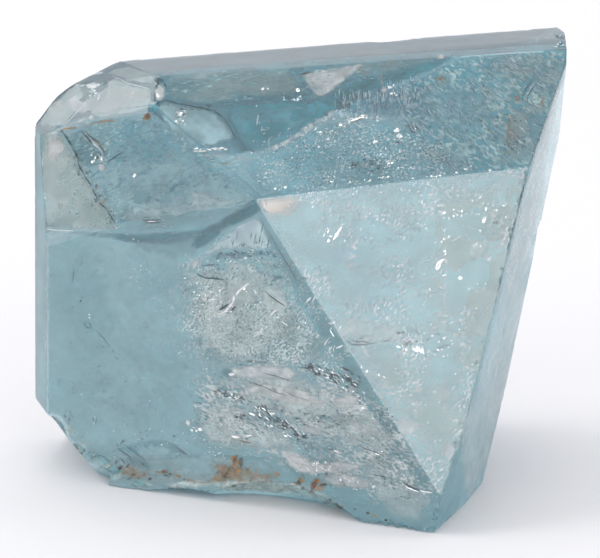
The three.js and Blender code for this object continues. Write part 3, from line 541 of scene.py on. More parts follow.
    # Painted shade: this film darkens the wedge under the top edge of the upper front face, where internal reflection
    # shows the shaded floor under the crystal.
    ("sea", 0.95, 0.3, 92, [(-7.32, -2.34, 39.52), (-4.93, -1.88, 39.73), (-1.94, -1.45, 39.85), (1.27, -1.27, 39.72), (3.08, -0.85, 39.94), (4.6, 0.24, 40.86), (8.16, 1.59, 41.83), (13.28, 3.36, 43.06), (19.16, 4.66, 43.76), (14.28, 2.82, 42.43), (10.17, 1.23, 41.29), (7.12, 0.1, 40.48), (4.58, -1.07, 39.58), (2.87, -2.17, 38.67), (1.16, -3.26, 37.77), (-0.73, -4.53, 36.72), (-2.7, -5.46, 36.0), (-4.48, -6.2, 35.45), (-5.27, -5.93, 35.8), (-6.08, -4.98, 36.81), (-6.79, -3.84, 37.99)]),
    ("blue", 0.5, 0.6, 93, [(-7.12, -2.51, 39.35), (-1.93, -1.9, 39.44), (2.67, -1.34, 39.53), (0.07, -3.63, 37.55), (-2.7, -5.39, 36.09), (-4.67, -6.15, 35.55), (-5.87, -5.14, 36.65)]),
    # Painted shade: this dark film deepens the same wedge.
    ("deep", 0.8, 0.3, 94, [(1.88, -1.22, 39.84), (3.49, -0.3, 40.58), (5.11, 0.71, 41.41), (7.35, 1.61, 42.06), (11.23, 2.64, 42.7), (9.17, 1.58, 41.86), (6.92, 0.34, 40.86), (4.59, -0.73, 40.05), (3.07, -1.73, 39.22)]),
    ("pale", 0.85, 0.3, 95, [(7.76, 1.63, 42.06), (8.47, 2.04, 42.4), (8.76, 1.36, 41.7), (8.44, 0.63, 41.02), (7.94, 0.76, 41.2)]),
    ("blue", 0.6, 0.6, 96, [(4.08, -1.2, 39.5), (7.32, 0.03, 40.39), (10.17, 1.15, 41.2), (12.0, 1.56, 41.43), (13.76, -0.04, 39.68), (14.09, -2.1, 37.64), (11.06, -2.69, 37.35), (8.07, -2.08, 38.25), (4.57, -2.2, 38.48), (2.86, -2.52, 38.34)]),
    ("blue", 0.62, 0.6, 97, [(-5.86, -6.52, 34.84), (-0.93, -4.59, 36.24), (2.25, -2.61, 37.87), (8.06, -2.13, 37.77), (13.06, -2.4, 37.01), (17.04, -2.93, 36.1), (19.95, -4.56, 34.21), (12.92, -6.15, 33.34), (4.98, -7.81, 32.5), (-3.46, -9.5, 31.69)]),
    ("blue", 0.55, 0.8, 98, [(3.68, -0.89, 39.85), (7.33, 0.73, 41.07), (10.19, 1.85, 41.89), (14.31, 3.53, 43.13), (19.41, 5.49, 44.54), (23.72, 7.04, 45.63), (29.95, 7.57, 45.54), (29.71, 4.67, 42.72), (26.68, -1.57, 36.92), (24.35, -6.02, 32.78), (16.89, -6.3, 33.25), (11.95, -5.86, 34.17), (10.08, -2.09, 38.05)]),
    ("blue", 0.55, 0.6, 99, [(10.58, 1.19, 41.32), (14.3, 3.1, 42.82), (19.39, 5.05, 44.23), (23.69, 6.6, 45.31), (29.44, 7.64, 45.76), (29.71, 4.59, 42.76), (26.67, -1.64, 36.95), (24.36, -5.93, 32.99), (16.91, -6.04, 33.62), (12.97, -5.34, 34.68), (11.68, -2.03, 38.05)]),
    # The ripple films paint the light and shade of the etched ripples in the upper front face, and the comb films the
    # light and shade of its upright combs.
    ("ripple_light", 0.6, 0.5, 100, [(10.16, 0.59, 40.82), (14.29, 2.88, 42.66), (19.38, 4.83, 44.07), (23.68, 6.37, 45.15), (29.44, 7.6, 45.78), (29.7, 4.55, 42.77), (26.67, -1.68, 36.97), (24.36, -5.97, 33.0), (16.91, -5.9, 33.8), (12.96, -5.38, 34.7), (11.08, -2.12, 38.08)]),
    ("ripple_shade", 0.5, 0.5, 101, [(10.57, 0.78, 41.0), (14.29, 2.87, 42.67), (19.38, 4.82, 44.08), (23.68, 6.36, 45.16), (29.44, 7.58, 45.79), (29.7, 4.54, 42.78), (26.67, -1.7, 36.98), (24.36, -5.98, 33.01), (16.91, -6.09, 33.64), (12.96, -5.4, 34.71), (11.28, -2.12, 38.09)]),
    ("comb_light", 0.55, 0.3, 102, [(3.27, -1.9, 39.06), (4.58, -1.27, 39.54), (7.32, -0.08, 40.44), (10.17, 1.04, 41.25), (12.63, 1.86, 41.81), (13.36, -0.18, 39.74), (12.88, -2.31, 37.71), (9.67, -2.4, 37.93), (6.07, -2.53, 38.16), (3.67, -2.73, 38.2)]),
    ("comb_shade", 0.55, 0.3, 103, [(3.88, -1.52, 39.39), (7.32, -0.1, 40.44), (10.17, 1.02, 41.26), (12.63, 1.85, 41.82), (13.14, -0.56, 39.41), (12.69, -1.99, 38.06), (9.08, -2.12, 38.29), (5.27, -2.09, 38.69)]),
    ("comb_light", 0.3, 0.3, 104, [(12.21, 1.65, 41.65), (19.35, 4.39, 43.63), (22.56, 5.03, 43.93), (20.39, 2.88, 42.04), (14.2, 0.76, 40.58)]),
    ("grain_up", 0.3, 0.6, 105, [(-3.68, -6.76, 35.0), (0.07, -4.76, 36.6), (4.57, -2.5, 38.36), (10.06, -2.9, 37.43), (14.03, -3.6, 36.35), (16.95, -5.06, 34.63), (16.91, -5.91, 33.81), (9.93, -7.49, 32.95), (0.07, -9.13, 32.31), (-3.45, -9.75, 32.06), (-4.83, -8.53, 33.38)]),
    ("shade_up", 0.36, 0.6, 106, [(-1.91, -5.76, 35.79), (3.06, -2.95, 38.05), (10.06, -2.71, 37.59), (14.03, -3.58, 36.35), (16.96, -5.05, 34.63), (16.9, -6.24, 33.47), (9.92, -7.65, 32.77), (2.03, -8.79, 32.43), (-0.91, -8.2, 33.3)]),
    ("grain_flat", 0.4, 0.5, 107, [(-11.76, -6.57, 35.97), (-4.86, -6.34, 35.51), (-0.92, -6.52, 34.95), (0.07, -8.54, 32.88), (-3.45, -9.9, 31.89), (-6.19, -9.63, 32.42)]),
    ("sage", 0.34, 0.5, 108, [(20.3, 4.83, 43.96), (27.38, 6.34, 44.74), (27.2, 3.99, 42.46), (25.51, 0.4, 39.12), (23.56, -4.5, 34.51), (20.34, -5.11, 34.23), (20.81, -0.43, 38.77)]),
    ("slate", 0.3, 0.4, 109, [(20.45, 3.95, 43.09), (26.68, 5.2, 43.69), (26.92, 4.32, 42.81), (25.1, 0.37, 39.12), (23.14, -4.79, 34.26), (19.93, -5.23, 34.16), (20.96, -1.28, 37.91)]),
    ("teal", 0.42, 0.3, 110, [(17.17, 3.51, 42.95), (19.45, 4.24, 43.44), (22.5, 3.96, 42.87), (25.35, 3.85, 42.48), (26.12, 3.2, 41.77), (23.46, 3.06, 41.9), (20.89, 2.76, 41.85), (18.33, 2.45, 41.81)]),
    ("blue", 0.7, 0.25, 111, [(23.42, 2.42, 41.3), (24.04, 2.65, 41.46), (23.78, 1.75, 40.6), (23.33, 1.01, 39.92), (23.48, 0.32, 39.23), (24.26, -0.14, 38.71), (23.63, -0.54, 38.38), (22.66, 0.08, 39.08), (22.51, 0.94, 39.94), (22.87, 1.85, 40.79)]),
    ("slate", 0.46, 0.4, 112, [(-5.86, -9.32, 31.35), (-3.72, -8.55, 32.58), (9.89, -6.03, 33.82), (24.44, -3.48, 34.79), (23.05, -6.63, 26.84), (20.27, -10.3, 18.08), (16.7, -14.72, 7.61), (14.29, -17.58, 0.86), (9.79, -15.64, 7.93), (3.92, -13.1, 17.17), (-1.56, -10.98, 25.11)]),
    ("grain_diag", 0.4, 0.5, 113, [(-5.79, -10.35, 31.64), (-3.65, -9.57, 32.87), (9.92, -7.06, 34.11), (24.44, -4.51, 35.07), (23.05, -7.66, 27.14), (20.27, -11.32, 18.41), (16.72, -15.72, 7.97), (14.31, -18.59, 1.23), (9.82, -16.65, 8.28), (3.97, -14.12, 17.5), (-1.5, -12.01, 25.42)]),
    ("shade_diag", 0.36, 0.5, 114, [(-5.79, -10.33, 31.64), (-3.65, -9.56, 32.86), (9.92, -7.04, 34.11), (24.44, -4.49, 35.07), (23.05, -7.64, 27.14), (20.27, -11.3, 18.4), (16.72, -15.71, 7.96), (14.31, -18.57, 1.22), (9.82, -16.63, 8.28), (3.97, -14.1, 17.49), (-1.5, -11.99, 25.42)]),
    ("shade_diag", 0.3, 0.8, 115, [(-0.91, -10.1, 30.38), (9.91, -8.11, 31.32), (12.88, -8.74, 28.43), (9.88, -11.55, 22.06), (4.95, -12.98, 20.22), (1.04, -11.74, 25.15)]),
    ("tide", 0.6, 0.5, 116, [(-3.65, -10.05, 31.47), (9.92, -7.58, 32.61), (22.31, -5.3, 33.72), (21.35, -7.69, 27.66), (18.78, -11.31, 18.92), (15.94, -15.12, 9.82), (14.03, -17.34, 4.6), (10.32, -16.21, 9.16), (4.95, -13.95, 17.45), (0.06, -11.83, 25.17)]),
    ("peach", 0.95, 0.25, 117, [(-4.23, -10.08, 31.88), (-2.67, -9.79, 32.02), (-0.71, -9.49, 32.05), (-0.42, -9.69, 31.39), (-1.11, -9.99, 30.86), (-1.89, -10.27, 30.42), (-2.86, -10.44, 30.36), (-3.74, -10.32, 31.04)]),
    ("peach", 0.4, 0.4, 118, [(-4.23, -10.06, 31.88), (0.07, -9.26, 32.29), (0.46, -9.65, 31.08), (-0.91, -10.25, 30.02), (-2.86, -10.52, 30.08)]),
    ("sky", 0.5, 0.8, 119, [(0.06, -10.14, 29.58), (3.98, -9.53, 29.63), (7.52, -10.07, 26.73), (9.88, -11.11, 22.95), (8.69, -12.17, 20.59), (4.95, -12.74, 20.56), (1.82, -11.88, 24.17)]),
    ("moss", 0.42, 1.8, 120, [(13.09, -7.28, 32.14), (24.93, -4.87, 33.83), (23.45, -7.93, 26.19), (20.97, -11.2, 18.37), (18.15, -13.26, 13.96), (14.0, -13.14, 15.98), (12.25, -10.84, 22.88), (12.68, -8.72, 28.43)]),
    ("moss", 0.34, 1.8, 121, [(4.36, -13.02, 20.23), (9.86, -13.22, 17.44), (13.8, -13.23, 15.8), (17.13, -14.62, 10.69), (15.32, -16.77, 5.64), (11.79, -16.16, 8.73), (7.29, -14.73, 14.42)]),
    ("film", 0.4, 0.6, 122, [(2.99, -13.06, 20.65), (6.92, -12.46, 20.68), (11.84, -12.26, 19.2), (9.86, -13.04, 17.89), (6.42, -13.51, 18.03)]),
    ("lilac", 0.5, 0.5, 123, [(9.84, -14.34, 14.4), (11.42, -13.96, 14.79), (12.21, -14.12, 14.03), (12.0, -14.63, 12.75), (11.02, -15.0, 12.15), (10.03, -14.96, 12.65)]),
    ("lilac", 0.4, 0.3, 124, [(13.0, -13.95, 14.18), (14.38, -13.69, 14.3), (15.37, -13.9, 13.34), (14.77, -14.32, 12.45), (13.38, -14.51, 12.51)]),
    ("lilac", 0.52, 0.5, 125, [(8.85, -15.66, 11.24), (10.23, -15.34, 11.54), (11.8, -15.4, 10.74), (11.99, -15.85, 9.45), (10.61, -16.17, 9.15), (9.43, -16.13, 9.75)]),
    ("lilac", 0.6, 0.4, 126, [(13.76, -15.97, 8.46), (14.55, -15.66, 8.97), (15.54, -15.6, 8.75), (15.33, -16.23, 7.11), (14.54, -16.44, 6.87), (13.85, -16.3, 7.54)]),
    ("dusk", 0.35, 0.7, 127, [(11.77, -14.89, 9.73), (13.75, -14.55, 9.83), (15.93, -14.33, 9.55), (14.71, -15.99, 5.57), (13.92, -16.5, 4.51), (12.55, -16.0, 6.4)]),
    ("dusk", 0.22, 0.9, 128, [(17.63, -7.92, 26.15), (21.05, -6.75, 27.9), (19.8, -9.35, 21.41), (17.75, -12.03, 15.0), (16.33, -13.93, 10.45), (14.75, -13.46, 12.36), (15.99, -10.9, 18.78)]),
    ("lilac", 0.5, 0.12, 129, [(27.02, 2.96, 44.59), (25.81, -0.27, 43.73), (24.73, -2.02, 40.19), (23.07, -4.38, 33.97), (21.44, -6.5, 27.41), (19.83, -8.54, 20.75), (17.93, -11.71, 14.76), (15.87, -15.93, 10.13), (14.46, -18.04, 5.1), (14.29, -16.93, 1.16), (17.29, -7.48, -0.2), (19.67, -1.83, 3.24), (21.65, 1.31, 9.87), (23.24, 2.61, 18.17), (22.84, -0.71, 23.33), (24.04, 1.91, 25.63), (25.47, 2.19, 35.24), (27.01, 3.46, 43.27)]),
]

CLOUDS = [
    ("frost", 0.75, (-10.31, -7.53, 24.7), (0.79, 0.44), 35, 0, 1),
    ("deep", 0.62, (-4.69, -9.95, 28.16), (0.08, 0.39), -10, 0, 2),
    ("deep", 0.62, (-4.29, -10.11, 27.9), (0.08, 0.79), -11, 0, 3),
    ("deep", 0.62, (-3.85, -10.3, 27.84), (0.08, 0.49), -15.5, 0, 4),
    ("deep", 0.62, (-3.6, -10.4, 27.57), (0.08, 0.59), -15, 0, 5),
    ("deep", 0.62, (-3.01, -10.65, 27.53), (0.08, 0.69), -12, 0, 6),
    ("deep", 0.62, (-5.39, -9.66, 27.17), (0.08, 0.26), -15, 0, 7),
    ("deep", 0.62, (-6.48, -9.2, 27.26), (0.08, 0.44), -10, 0, 8),
    ("deep", 0.62, (-7.68, -8.69, 26.73), (0.08, 0.2), -16, 0, 9),
    ("deep", 0.62, (-6.08, -9.37, 28.12), (0.08, 0.49), -11, 0, 10),
    ("deep", 0.62, (-3.6, -10.4, 28.98), (0.08, 0.59), -15, 0, 11),
    ("deep", 0.75, (-2.22, -10.88, 25.42), (0.74, 0.26), -4, 0, 12),
    ("deep", 0.75, (-1.93, -11.01, 24.24), (0.74, 0.28), -2, 0, 13),
    ("rust", 0.6, (-1.15, -11.42, 26.62), (0.22, 0.1), 0, 0, 14),
    ("rust", 0.45, (-0.76, -11.58, 25.75), (0.26, 0.39), 10, 0, 15),
    ("frost", 0.45, (-7.6, -8.58, 21.28), (2.76, 1.58), 20, 0, 16),
    ("frost", 0.42, (-3.62, -10.25, 18.15), (2.56, 1.38), -20, 0, 17),
    ("frost", 0.25, (-5.76, -8.99, 19.16), (2.17, 1.18), 10, 0, 18),
    ("deep", 0.8, (-6.97, -8.93, 13.69), (0.79, 0.44), -28, 0, 19),
    ("sky", 0.5, (-8.7, -8.19, 13.05), (0.89, 0.39), -50, 0, 20),
    ("deep", 0.5, (-7.69, -8.63, 11.71), (0.99, 0.34), -20, 0, 21),
    ("deep", 0.8, (-12.46, -6.1, 32.09), (0.89, 0.26), 38, 0, 22),
    ("deep", 0.6, (-11.65, -6.39, 32.56), (0.89, 0.18), 15, 0, 23),
    ("deep", 0.45, (-15.02, -5.23, 30.35), (0.3, 0.79), 0, 0, 24),
    ("deep", 0.35, (-9.13, -7.5, 32.91), (0.79, 0.39), -30, 0, 25),
    ("snow", 0.45, (-24.22, -0.91, 29.65), (0.49, 1.38), 8, 0, 26),
    ("milk", 0.45, (-25.3, -0.67, 28.03), (0.79, 0.79), 0, 0, 27),
    ("rust", 0.85, (-15.1, -3.54, 38.84), (0.49, 0.39), 0, 0, 28),
    ("snow", 0.6, (-20.92, -0.52, 38.08), (0.3, 0.3), 30, 0, 29),
    ("snow", 0.55, (-22.07, -0.15, 37.6), (0.69, 0.2), 15, 0, 30),
    ("rust", 0.65, (13.29, 3.49, 43.38), (0.49, 0.49), 0, 0, 31),
    ("peach", 0.7, (14.42, 3.58, 43.36), (0.34, 0.59), -10, 0, 32),
    ("rust", 0.4, (9.41, 2.89, 43.18), (0.49, 0.39), 0, 0, 33),
    ("snow", 0.8, (8.53, 0.27, 40.68), (0.39, 0.34), 0, 0, 34),
    ("pale", 0.95, (3.17, -2.24, 38.71), (0.44, 0.44), 35, 0, 35),
    ("pale", 0.95, (2.67, -2.71, 38.3), (0.34, 0.39), 35, 0, 36),
    ("pale", 0.95, (1.17, -3.44, 37.73), (0.44, 0.44), 35, 0, 37),
    ("pale", 0.95, (0.57, -3.83, 37.41), (0.39, 0.3), 35, 0, 38),
    ("pale", 0.95, (-0.23, -4.41, 36.92), (0.44, 0.3), 35, 0, 39),
    ("pale", 0.95, (-1.32, -5.01, 36.44), (0.69, 0.26), 35, 0, 40),
    ("pale", 0.95, (-2.4, -5.53, 36.04), (0.49, 0.26), 35, 0, 41),
    ("pale", 0.95, (1.87, -2.95, 38.14), (0.3, 0.3), 35, 0, 42),
    ("deep", 0.75, (6.79, -6.23, 34.36), (1.48, 0.54), 8, 0, 43),
    ("blue", 0.7, (7.18, -6.5, 34.13), (1.58, 0.59), 8, 0, 44),
    ("milk", 0.6, (6.4, -6.41, 34.31), (0.69, 0.22), 8, 0, 45),
    ("rust", 0.95, (14.35, 1.74, 41.59), (0.49, 0.26), -8, 0, 46),
    ("rust", 0.95, (21.9, 0.93, 40.05), (0.33, 0.69), -18, 0, 47),
    ("rust", 0.7, (22.09, 0.59, 39.71), (0.3, 0.39), -18, 0, 48),
    ("rust", 0.65, (24.42, 0.61, 39.5), (0.35, 0.79), 10, 0, 49),
    ("rust", 0.35, (19.61, -2.06, 37.24), (2.96, 2.17), 0, 0, 50),
    ("deep", 0.35, (17.93, -5.44, 34.1), (2.96, 0.49), 6, 0, 51),
    ("milk", 0.34, (13.88, -7.88, 30.05), (6.5, 1.97), 8, 0, 52),
    ("milk", 0.3, (3.0, -9.49, 30.13), (4.33, 1.58), 8, 0, 53),
    ("milk", 0.3, (16.82, -9.64, 23.56), (2.96, 5.52), -15, 0, 54),
    ("sky", 0.55, (5.16, -11.04, 25.16), (3.35, 1.77), -50, 0, 55),
    ("film", 0.45, (4.56, -13.27, 19.49), (1.77, 0.79), 0, 0, 56),
    ("lilac", 0.35, (14.82, -10.98, 21.38), (0.89, 1.18), 0, 0, 57),
    ("lilac", 0.3, (13.12, -12.07, 19.14), (0.89, 0.79), 0, 0, 58),
    ("lilac", 0.35, (7.1, -14.25, 15.7), (1.58, 0.79), -40, 0, 59),
    ("deep", 0.3, (12.4, -14.39, 13.08), (0.39, 1.38), 0, 0, 60),
    ("deep", 0.25, (9.05, -15.05, 12.68), (0.49, 0.59), -30, 0, 61),
    ("deep", 0.25, (9.85, -13.88, 15.59), (1.38, 0.3), -20, 0, 62),
]

THREADS = [
    ("dark", 0.079, 1, [(-6.67, -9.06, 27.54), (-6.47, -9.14, 27.15)]),
    ("pale", 0.089, 2, [(-17.51, -4.54, 5.25), (-16.47, -4.97, 4.75), (-15.43, -5.41, 3.93), (-14.81, -5.67, 3.16)]),
    ("pale", 0.089, 3, [(-18.17, -4.26, 4.19), (-17.12, -4.7, 3.58), (-16.29, -5.05, 2.83), (-15.67, -5.31, 2.27)]),
    ("pale", 0.079, 4, [(-16.06, -5.15, 4.27), (-15.02, -5.58, 3.56), (-14.19, -5.93, 2.71)]),
    ("deep", 0.099, 5, [(-18.59, -4.09, 4.23), (-17.54, -4.52, 3.52), (-16.72, -4.87, 2.55)]),
    ("deep", 0.099, 6, [(-17.74, -4.44, 4.57), (-16.28, -5.05, 3.7), (-15.24, -5.49, 2.77)]),
    ("dark", 0.197, 7, [(-10.13, -7.7, 23.65), (-9.32, -8.03, 23.43), (-8.41, -8.41, 23.43), (-7.41, -8.83, 23.44)]),
    ("dark", 0.138, 8, [(-9.51, -7.95, 24.59), (-8.91, -8.21, 24.76), (-8.3, -8.46, 24.83)]),
    ("pale", 0.118, 9, [(-9.81, -7.76, 23.98), (-8.8, -8.18, 23.89), (-7.6, -8.69, 23.87)]),
    ("dark", 0.148, 10, [(-3.33, -10.54, 22.73), (-2.84, -10.75, 22.27), (-2.15, -11.04, 21.84), (-1.36, -11.37, 21.42)]),
    ("glint", 0.187, 11, [(-4.82, -9.92, 23.37), (-5.32, -9.71, 23.01), (-5.72, -9.54, 22.56), (-6.12, -9.38, 22.1)]),
    ("glint", 0.276, 12, [(-5.82, -9.5, 22.65), (-6.02, -9.42, 22.32), (-6.22, -9.33, 21.99)]),
    ("glint", 0.236, 13, [(-6.42, -9.25, 21.86), (-6.42, -9.25, 21.55), (-6.53, -9.21, 21.23)]),
    ("glint", 0.197, 14, [(-6.42, -9.25, 21.35), (-6.83, -9.08, 20.78), (-7.24, -8.91, 20.22), (-7.64, -8.74, 19.97)]),
    ("glint", 0.177, 15, [(-7.24, -8.91, 20.12), (-7.74, -8.7, 19.85), (-8.25, -8.48, 19.79)]),
    ("dark", 0.276, 16, [(-6.93, -9.04, 20.98), (-7.43, -8.83, 20.61), (-7.94, -8.61, 20.24)]),
    ("dark", 0.197, 17, [(-6.33, -9.29, 20.84), (-6.73, -9.12, 20.28), (-7.04, -8.99, 20.04)]),
    ("glint", 0.177, 18, [(-4.42, -10.09, 22.7), (-4.22, -10.17, 22.52), (-4.23, -10.17, 22.22)]),
    ("glint", 0.158, 19, [(-9.14, -8.11, 21.03), (-8.74, -8.28, 21.28), (-8.23, -8.49, 21.24)]),
    ("glint", 0.138, 20, [(-2.84, -10.75, 20.23), (-2.55, -10.87, 20.67), (-2.15, -11.04, 20.92)]),
    ("glint", 0.138, 21, [(-1.76, -11.2, 19.84), (-1.46, -11.33, 19.67), (-1.07, -11.49, 19.42)]),
    ("dark", 0.099, 22, [(-6.64, -8.98, 15.08), (-5.23, -9.57, 15.25), (-3.63, -10.24, 15.35), (-1.84, -10.99, 15.48)]),
    ("dark", 0.079, 23, [(-6.25, -9.18, 14.92), (-5.54, -9.48, 14.75), (-4.84, -9.77, 14.79)]),
    ("pale", 0.099, 24, [(-6.45, -9.13, 15.32), (-4.84, -9.81, 15.53), (-3.04, -10.56, 15.6)]),
    ("dark", 0.089, 25, [(-3.66, -10.41, 14.24), (-2.26, -10.99, 14.11), (-0.68, -11.66, 13.7)]),
    ("dark", 0.089, 26, [(-4.87, -9.9, 13.15), (-3.67, -10.4, 12.89), (-2.27, -10.99, 12.45), (-1.08, -11.49, 12.19)]),
    ("dark", 0.079, 27, [(-1.27, -11.41, 12.58), (0.11, -11.99, 12.14), (1.1, -12.4, 11.96)]),
    ("glint", 0.197, 28, [(0.7, -12.23, 22.02), (0.99, -12.35, 22.36), (1.19, -12.44, 22.59)]),
    ("glint", 0.118, 29, [(1.29, -12.48, 22.04), (1.48, -12.56, 22.47), (1.63, -12.58, 22.75)]),
    ("glint", 0.158, 30, [(-4.44, -10.08, 17.87), (-4.14, -10.2, 18.22)]),
    ("glint", 0.276, 31, [(-4.14, -10.2, 18.22), (-3.84, -10.33, 18.51), (-3.64, -10.41, 18.38)]),
    ("glint", 0.158, 32, [(-3.74, -10.37, 18.58), (-3.64, -10.41, 18.95)]),
    ("dark", 0.118, 33, [(-3.85, -10.33, 18.05), (-3.45, -10.49, 18.1)]),
    ("glint", 0.167, 34, [(2.47, -12.97, 17.8), (2.66, -13.05, 18.23), (2.85, -13.13, 18.56)]),
    ("glint", 0.148, 35, [(1.68, -12.64, 18.52), (1.98, -12.77, 18.92)]),
    ("glint", 0.217, 36, [(3.64, -13.46, 17.74), (4.02, -13.62, 17.89), (4.31, -13.75, 18.13)]),
    ("glint", 0.118, 37, [(3.05, -13.21, 19.5), (3.44, -13.38, 18.84)]),
    ("glint", 0.276, 38, [(-7.08, -8.97, 13.7), (-6.78, -9.1, 13.68), (-6.38, -9.27, 13.79)]),
    ("pale", 0.158, 39, [(-8.78, -8.08, 13.65), (-8.48, -8.21, 13.17), (-8.18, -8.34, 12.68)]),
    ("dark", 0.128, 40, [(-18.41, -4.23, 3.19), (-18.09, -4.36, 2.91), (-17.78, -4.49, 2.58)]),
    ("dark", 0.108, 41, [(-12.71, -6.62, 5.31), (-12.19, -6.83, 5.06), (-11.68, -7.05, 4.7), (-11.16, -7.26, 4.35)]),
    ("pale", 0.099, 42, [(-12.28, -6.73, 5.46), (-11.66, -6.99, 5.12), (-11.05, -7.24, 4.67)]),
    ("dark", 0.089, 43, [(-20.75, -3.25, 3.07), (-20.11, -3.52, 3.16)]),
    ("dark", 0.089, 44, [(-20.77, -3.24, 2.19), (-20.13, -3.51, 2.07)]),
    ("pale", 0.108, 45, [(-10.17, -7.51, 7.98), (-9.14, -7.94, 8.54), (-8.11, -8.37, 9.0), (-6.99, -8.84, 9.26)]),
    ("pale", 0.108, 46, [(-9.36, -7.85, 7.24), (-7.92, -8.45, 8.08), (-6.69, -8.96, 8.99)]),
    ("dark", 0.108, 47, [(-9.34, -7.89, 8.95), (-8.32, -8.31, 9.19), (-7.3, -8.74, 9.44)]),
    ("dark", 0.099, 48, [(-10.77, -7.29, 10.24), (-9.33, -7.89, 10.22), (-7.9, -8.49, 10.62)]),
    ("glint", 0.414, 49, [(-11.27, -7.19, 8.28), (-11.17, -7.23, 7.65)]),
    ("glint", 0.315, 50, [(-10.2, -7.67, 7.48), (-9.79, -7.84, 7.37)]),
    ("glint", 0.276, 51, [(-6.83, -9.08, 7.21), (-6.42, -9.25, 7.1), (-6.01, -9.42, 7.11)]),
    ("glint", 0.217, 52, [(-5.41, -9.68, 7.3), (-5.0, -9.85, 7.52), (-4.7, -9.97, 7.51)]),
    ("glint", 0.236, 53, [(-4.99, -9.85, 9.89), (-4.68, -9.98, 9.82), (-4.38, -10.1, 9.71)]),
    ("glint", 0.197, 54, [(-1.48, -11.32, 8.06), (-1.18, -11.45, 7.95)]),
    ("rust", 0.187, 55, [(-6.11, -9.31, 6.87), (-5.4, -9.61, 6.76), (-4.69, -9.91, 6.75)]),
    ("rust", 0.118, 56, [(-6.72, -9.06, 6.84), (-6.11, -9.31, 6.82)]),
    ("pale", 0.118, 57, [(-8.95, -8.01, 6.44), (-5.89, -9.3, 6.24), (-3.67, -10.23, 6.45)]),
    ("pale", 0.118, 58, [(-4.35, -9.9, 9.19), (-1.85, -10.96, 9.12), (0.64, -12.0, 8.21)]),
    ("pale", 0.099, 59, [(-3.47, -10.35, 6.38), (-1.46, -11.19, 7.09), (0.53, -12.02, 7.17)]),
    ("dark", 0.118, 60, [(2.89, -13.15, 7.22), (3.38, -13.36, 7.18), (3.87, -13.56, 6.94)]),
    ("glint", 0.217, 61, [(3.18, -13.27, 7.05), (3.58, -13.44, 7.06), (3.97, -13.6, 7.06)]),
    ("dark", 0.099, 62, [(5.92, -14.42, 7.96), (6.61, -14.71, 7.75), (7.29, -14.99, 7.54)]),
    ("dark", 0.099, 63, [(6.8, -14.79, 7.68), (7.58, -15.11, 7.48), (8.16, -15.36, 7.3)]),
    ("glint", 0.158, 64, [(7.39, -15.03, 7.45), (7.87, -15.24, 7.31)]),
    ("glint", 0.158, 65, [(8.06, -15.32, 7.75), (8.26, -15.4, 7.68)]),
    ("dark", 0.187, 66, [(10.13, -16.15, 4.89), (10.71, -16.39, 4.56), (11.29, -16.63, 4.33), (11.96, -16.92, 4.18)]),
    ("glint", 0.118, 67, [(10.42, -16.29, 4.47), (11.1, -16.57, 4.2), (11.77, -16.85, 4.0)]),
    ("glint", 0.177, 68, [(11.68, -16.79, 4.24), (12.25, -17.04, 4.12), (13.11, -17.4, 4.19)]),
    ("dark", 0.099, 69, [(7.21, -14.96, 5.24), (8.18, -15.37, 5.07), (8.77, -15.61, 5.05)]),
    ("dark", 0.079, 70, [(-3.01, -10.66, 28.94), (-2.23, -10.99, 27.41), (-1.25, -11.4, 25.9), (-0.08, -11.89, 24.01)]),
    ("dark", 0.099, 71, [(-22.84, -2.34, 22.7), (-22.96, -2.29, 22.06), (-23.09, -2.23, 21.31)]),
    ("dark", 0.079, 72, [(-20.66, -3.27, 16.62), (-19.84, -3.61, 15.77), (-19.23, -3.87, 15.0)]),
    ("glint", 0.118, 73, [(-25.74, -0.72, 26.62), (-24.88, -1.16, 26.58), (-23.39, -1.88, 26.7), (-22.75, -2.2, 26.73)]),
    ("pale", 0.138, 74, [(-25.89, -0.27, 26.21), (-24.67, -1.3, 26.4), (-23.18, -2.01, 26.58)]),
    ("dark", 0.148, 75, [(-23.96, 0.22, 36.55), (-23.44, -0.19, 35.81), (-22.91, -0.59, 35.07)]),
    ("dark", 0.148, 76, [(-22.91, -0.59, 35.07), (-22.5, -0.93, 34.42), (-22.29, -1.19, 33.65)]),
    ("dark", 0.148, 77, [(-22.29, -1.19, 33.65), (-22.08, -1.4, 33.08), (-21.67, -1.72, 32.53)]),
    ("dark", 0.148, 78, [(-21.67, -1.74, 32.43), (-21.25, -2.05, 31.88), (-20.83, -2.34, 31.43)]),
    ("dark", 0.148, 79, [(-20.83, -2.36, 31.33), (-20.52, -2.65, 30.67), (-20.21, -2.91, 30.12)]),
    ("dark", 0.148, 80, [(-20.21, -2.93, 30.02), (-19.69, -3.27, 29.58), (-19.17, -3.59, 29.24)]),
    ("dark", 0.148, 81, [(-19.17, -3.61, 29.15), (-18.76, -3.94, 28.5), (-18.45, -4.21, 27.95)]),
    ("dark", 0.148, 82, [(-18.45, -4.21, 27.95), (-18.14, -4.47, 27.39), (-17.83, -4.71, 26.94)]),
    ("rust", 0.158, 83, [(-23.96, 0.25, 36.7), (-23.33, -0.02, 36.86), (-22.48, -0.38, 37.08)]),
    ("rust", 0.099, 84, [(-22.06, -0.57, 37.12), (-19.97, -1.44, 37.76), (-17.89, -2.35, 38.2)]),
    ("dark", 0.236, 85, [(-21.95, -0.61, 36.82), (-21.43, -0.97, 36.28), (-20.91, -1.33, 35.74), (-20.18, -1.75, 35.42), (-19.55, -2.12, 35.08), (-19.35, -2.35, 34.42)]),
    ("pale", 0.315, 86, [(-20.91, -1.32, 35.94), (-20.28, -1.71, 35.51), (-19.87, -2.01, 35.06), (-19.66, -2.22, 34.49)]),
    ("glint", 0.236, 87, [(-20.81, -1.42, 35.76), (-20.18, -1.81, 35.33), (-19.87, -2.05, 34.87)]),
    ("rust", 0.118, 88, [(-20.7, -1.41, 36.06), (-20.08, -1.79, 35.68), (-19.56, -2.16, 35.09)]),
    ("dark", 0.158, 89, [(-21.64, -0.77, 36.85), (-20.8, -1.32, 36.15), (-19.97, -1.8, 35.73)]),
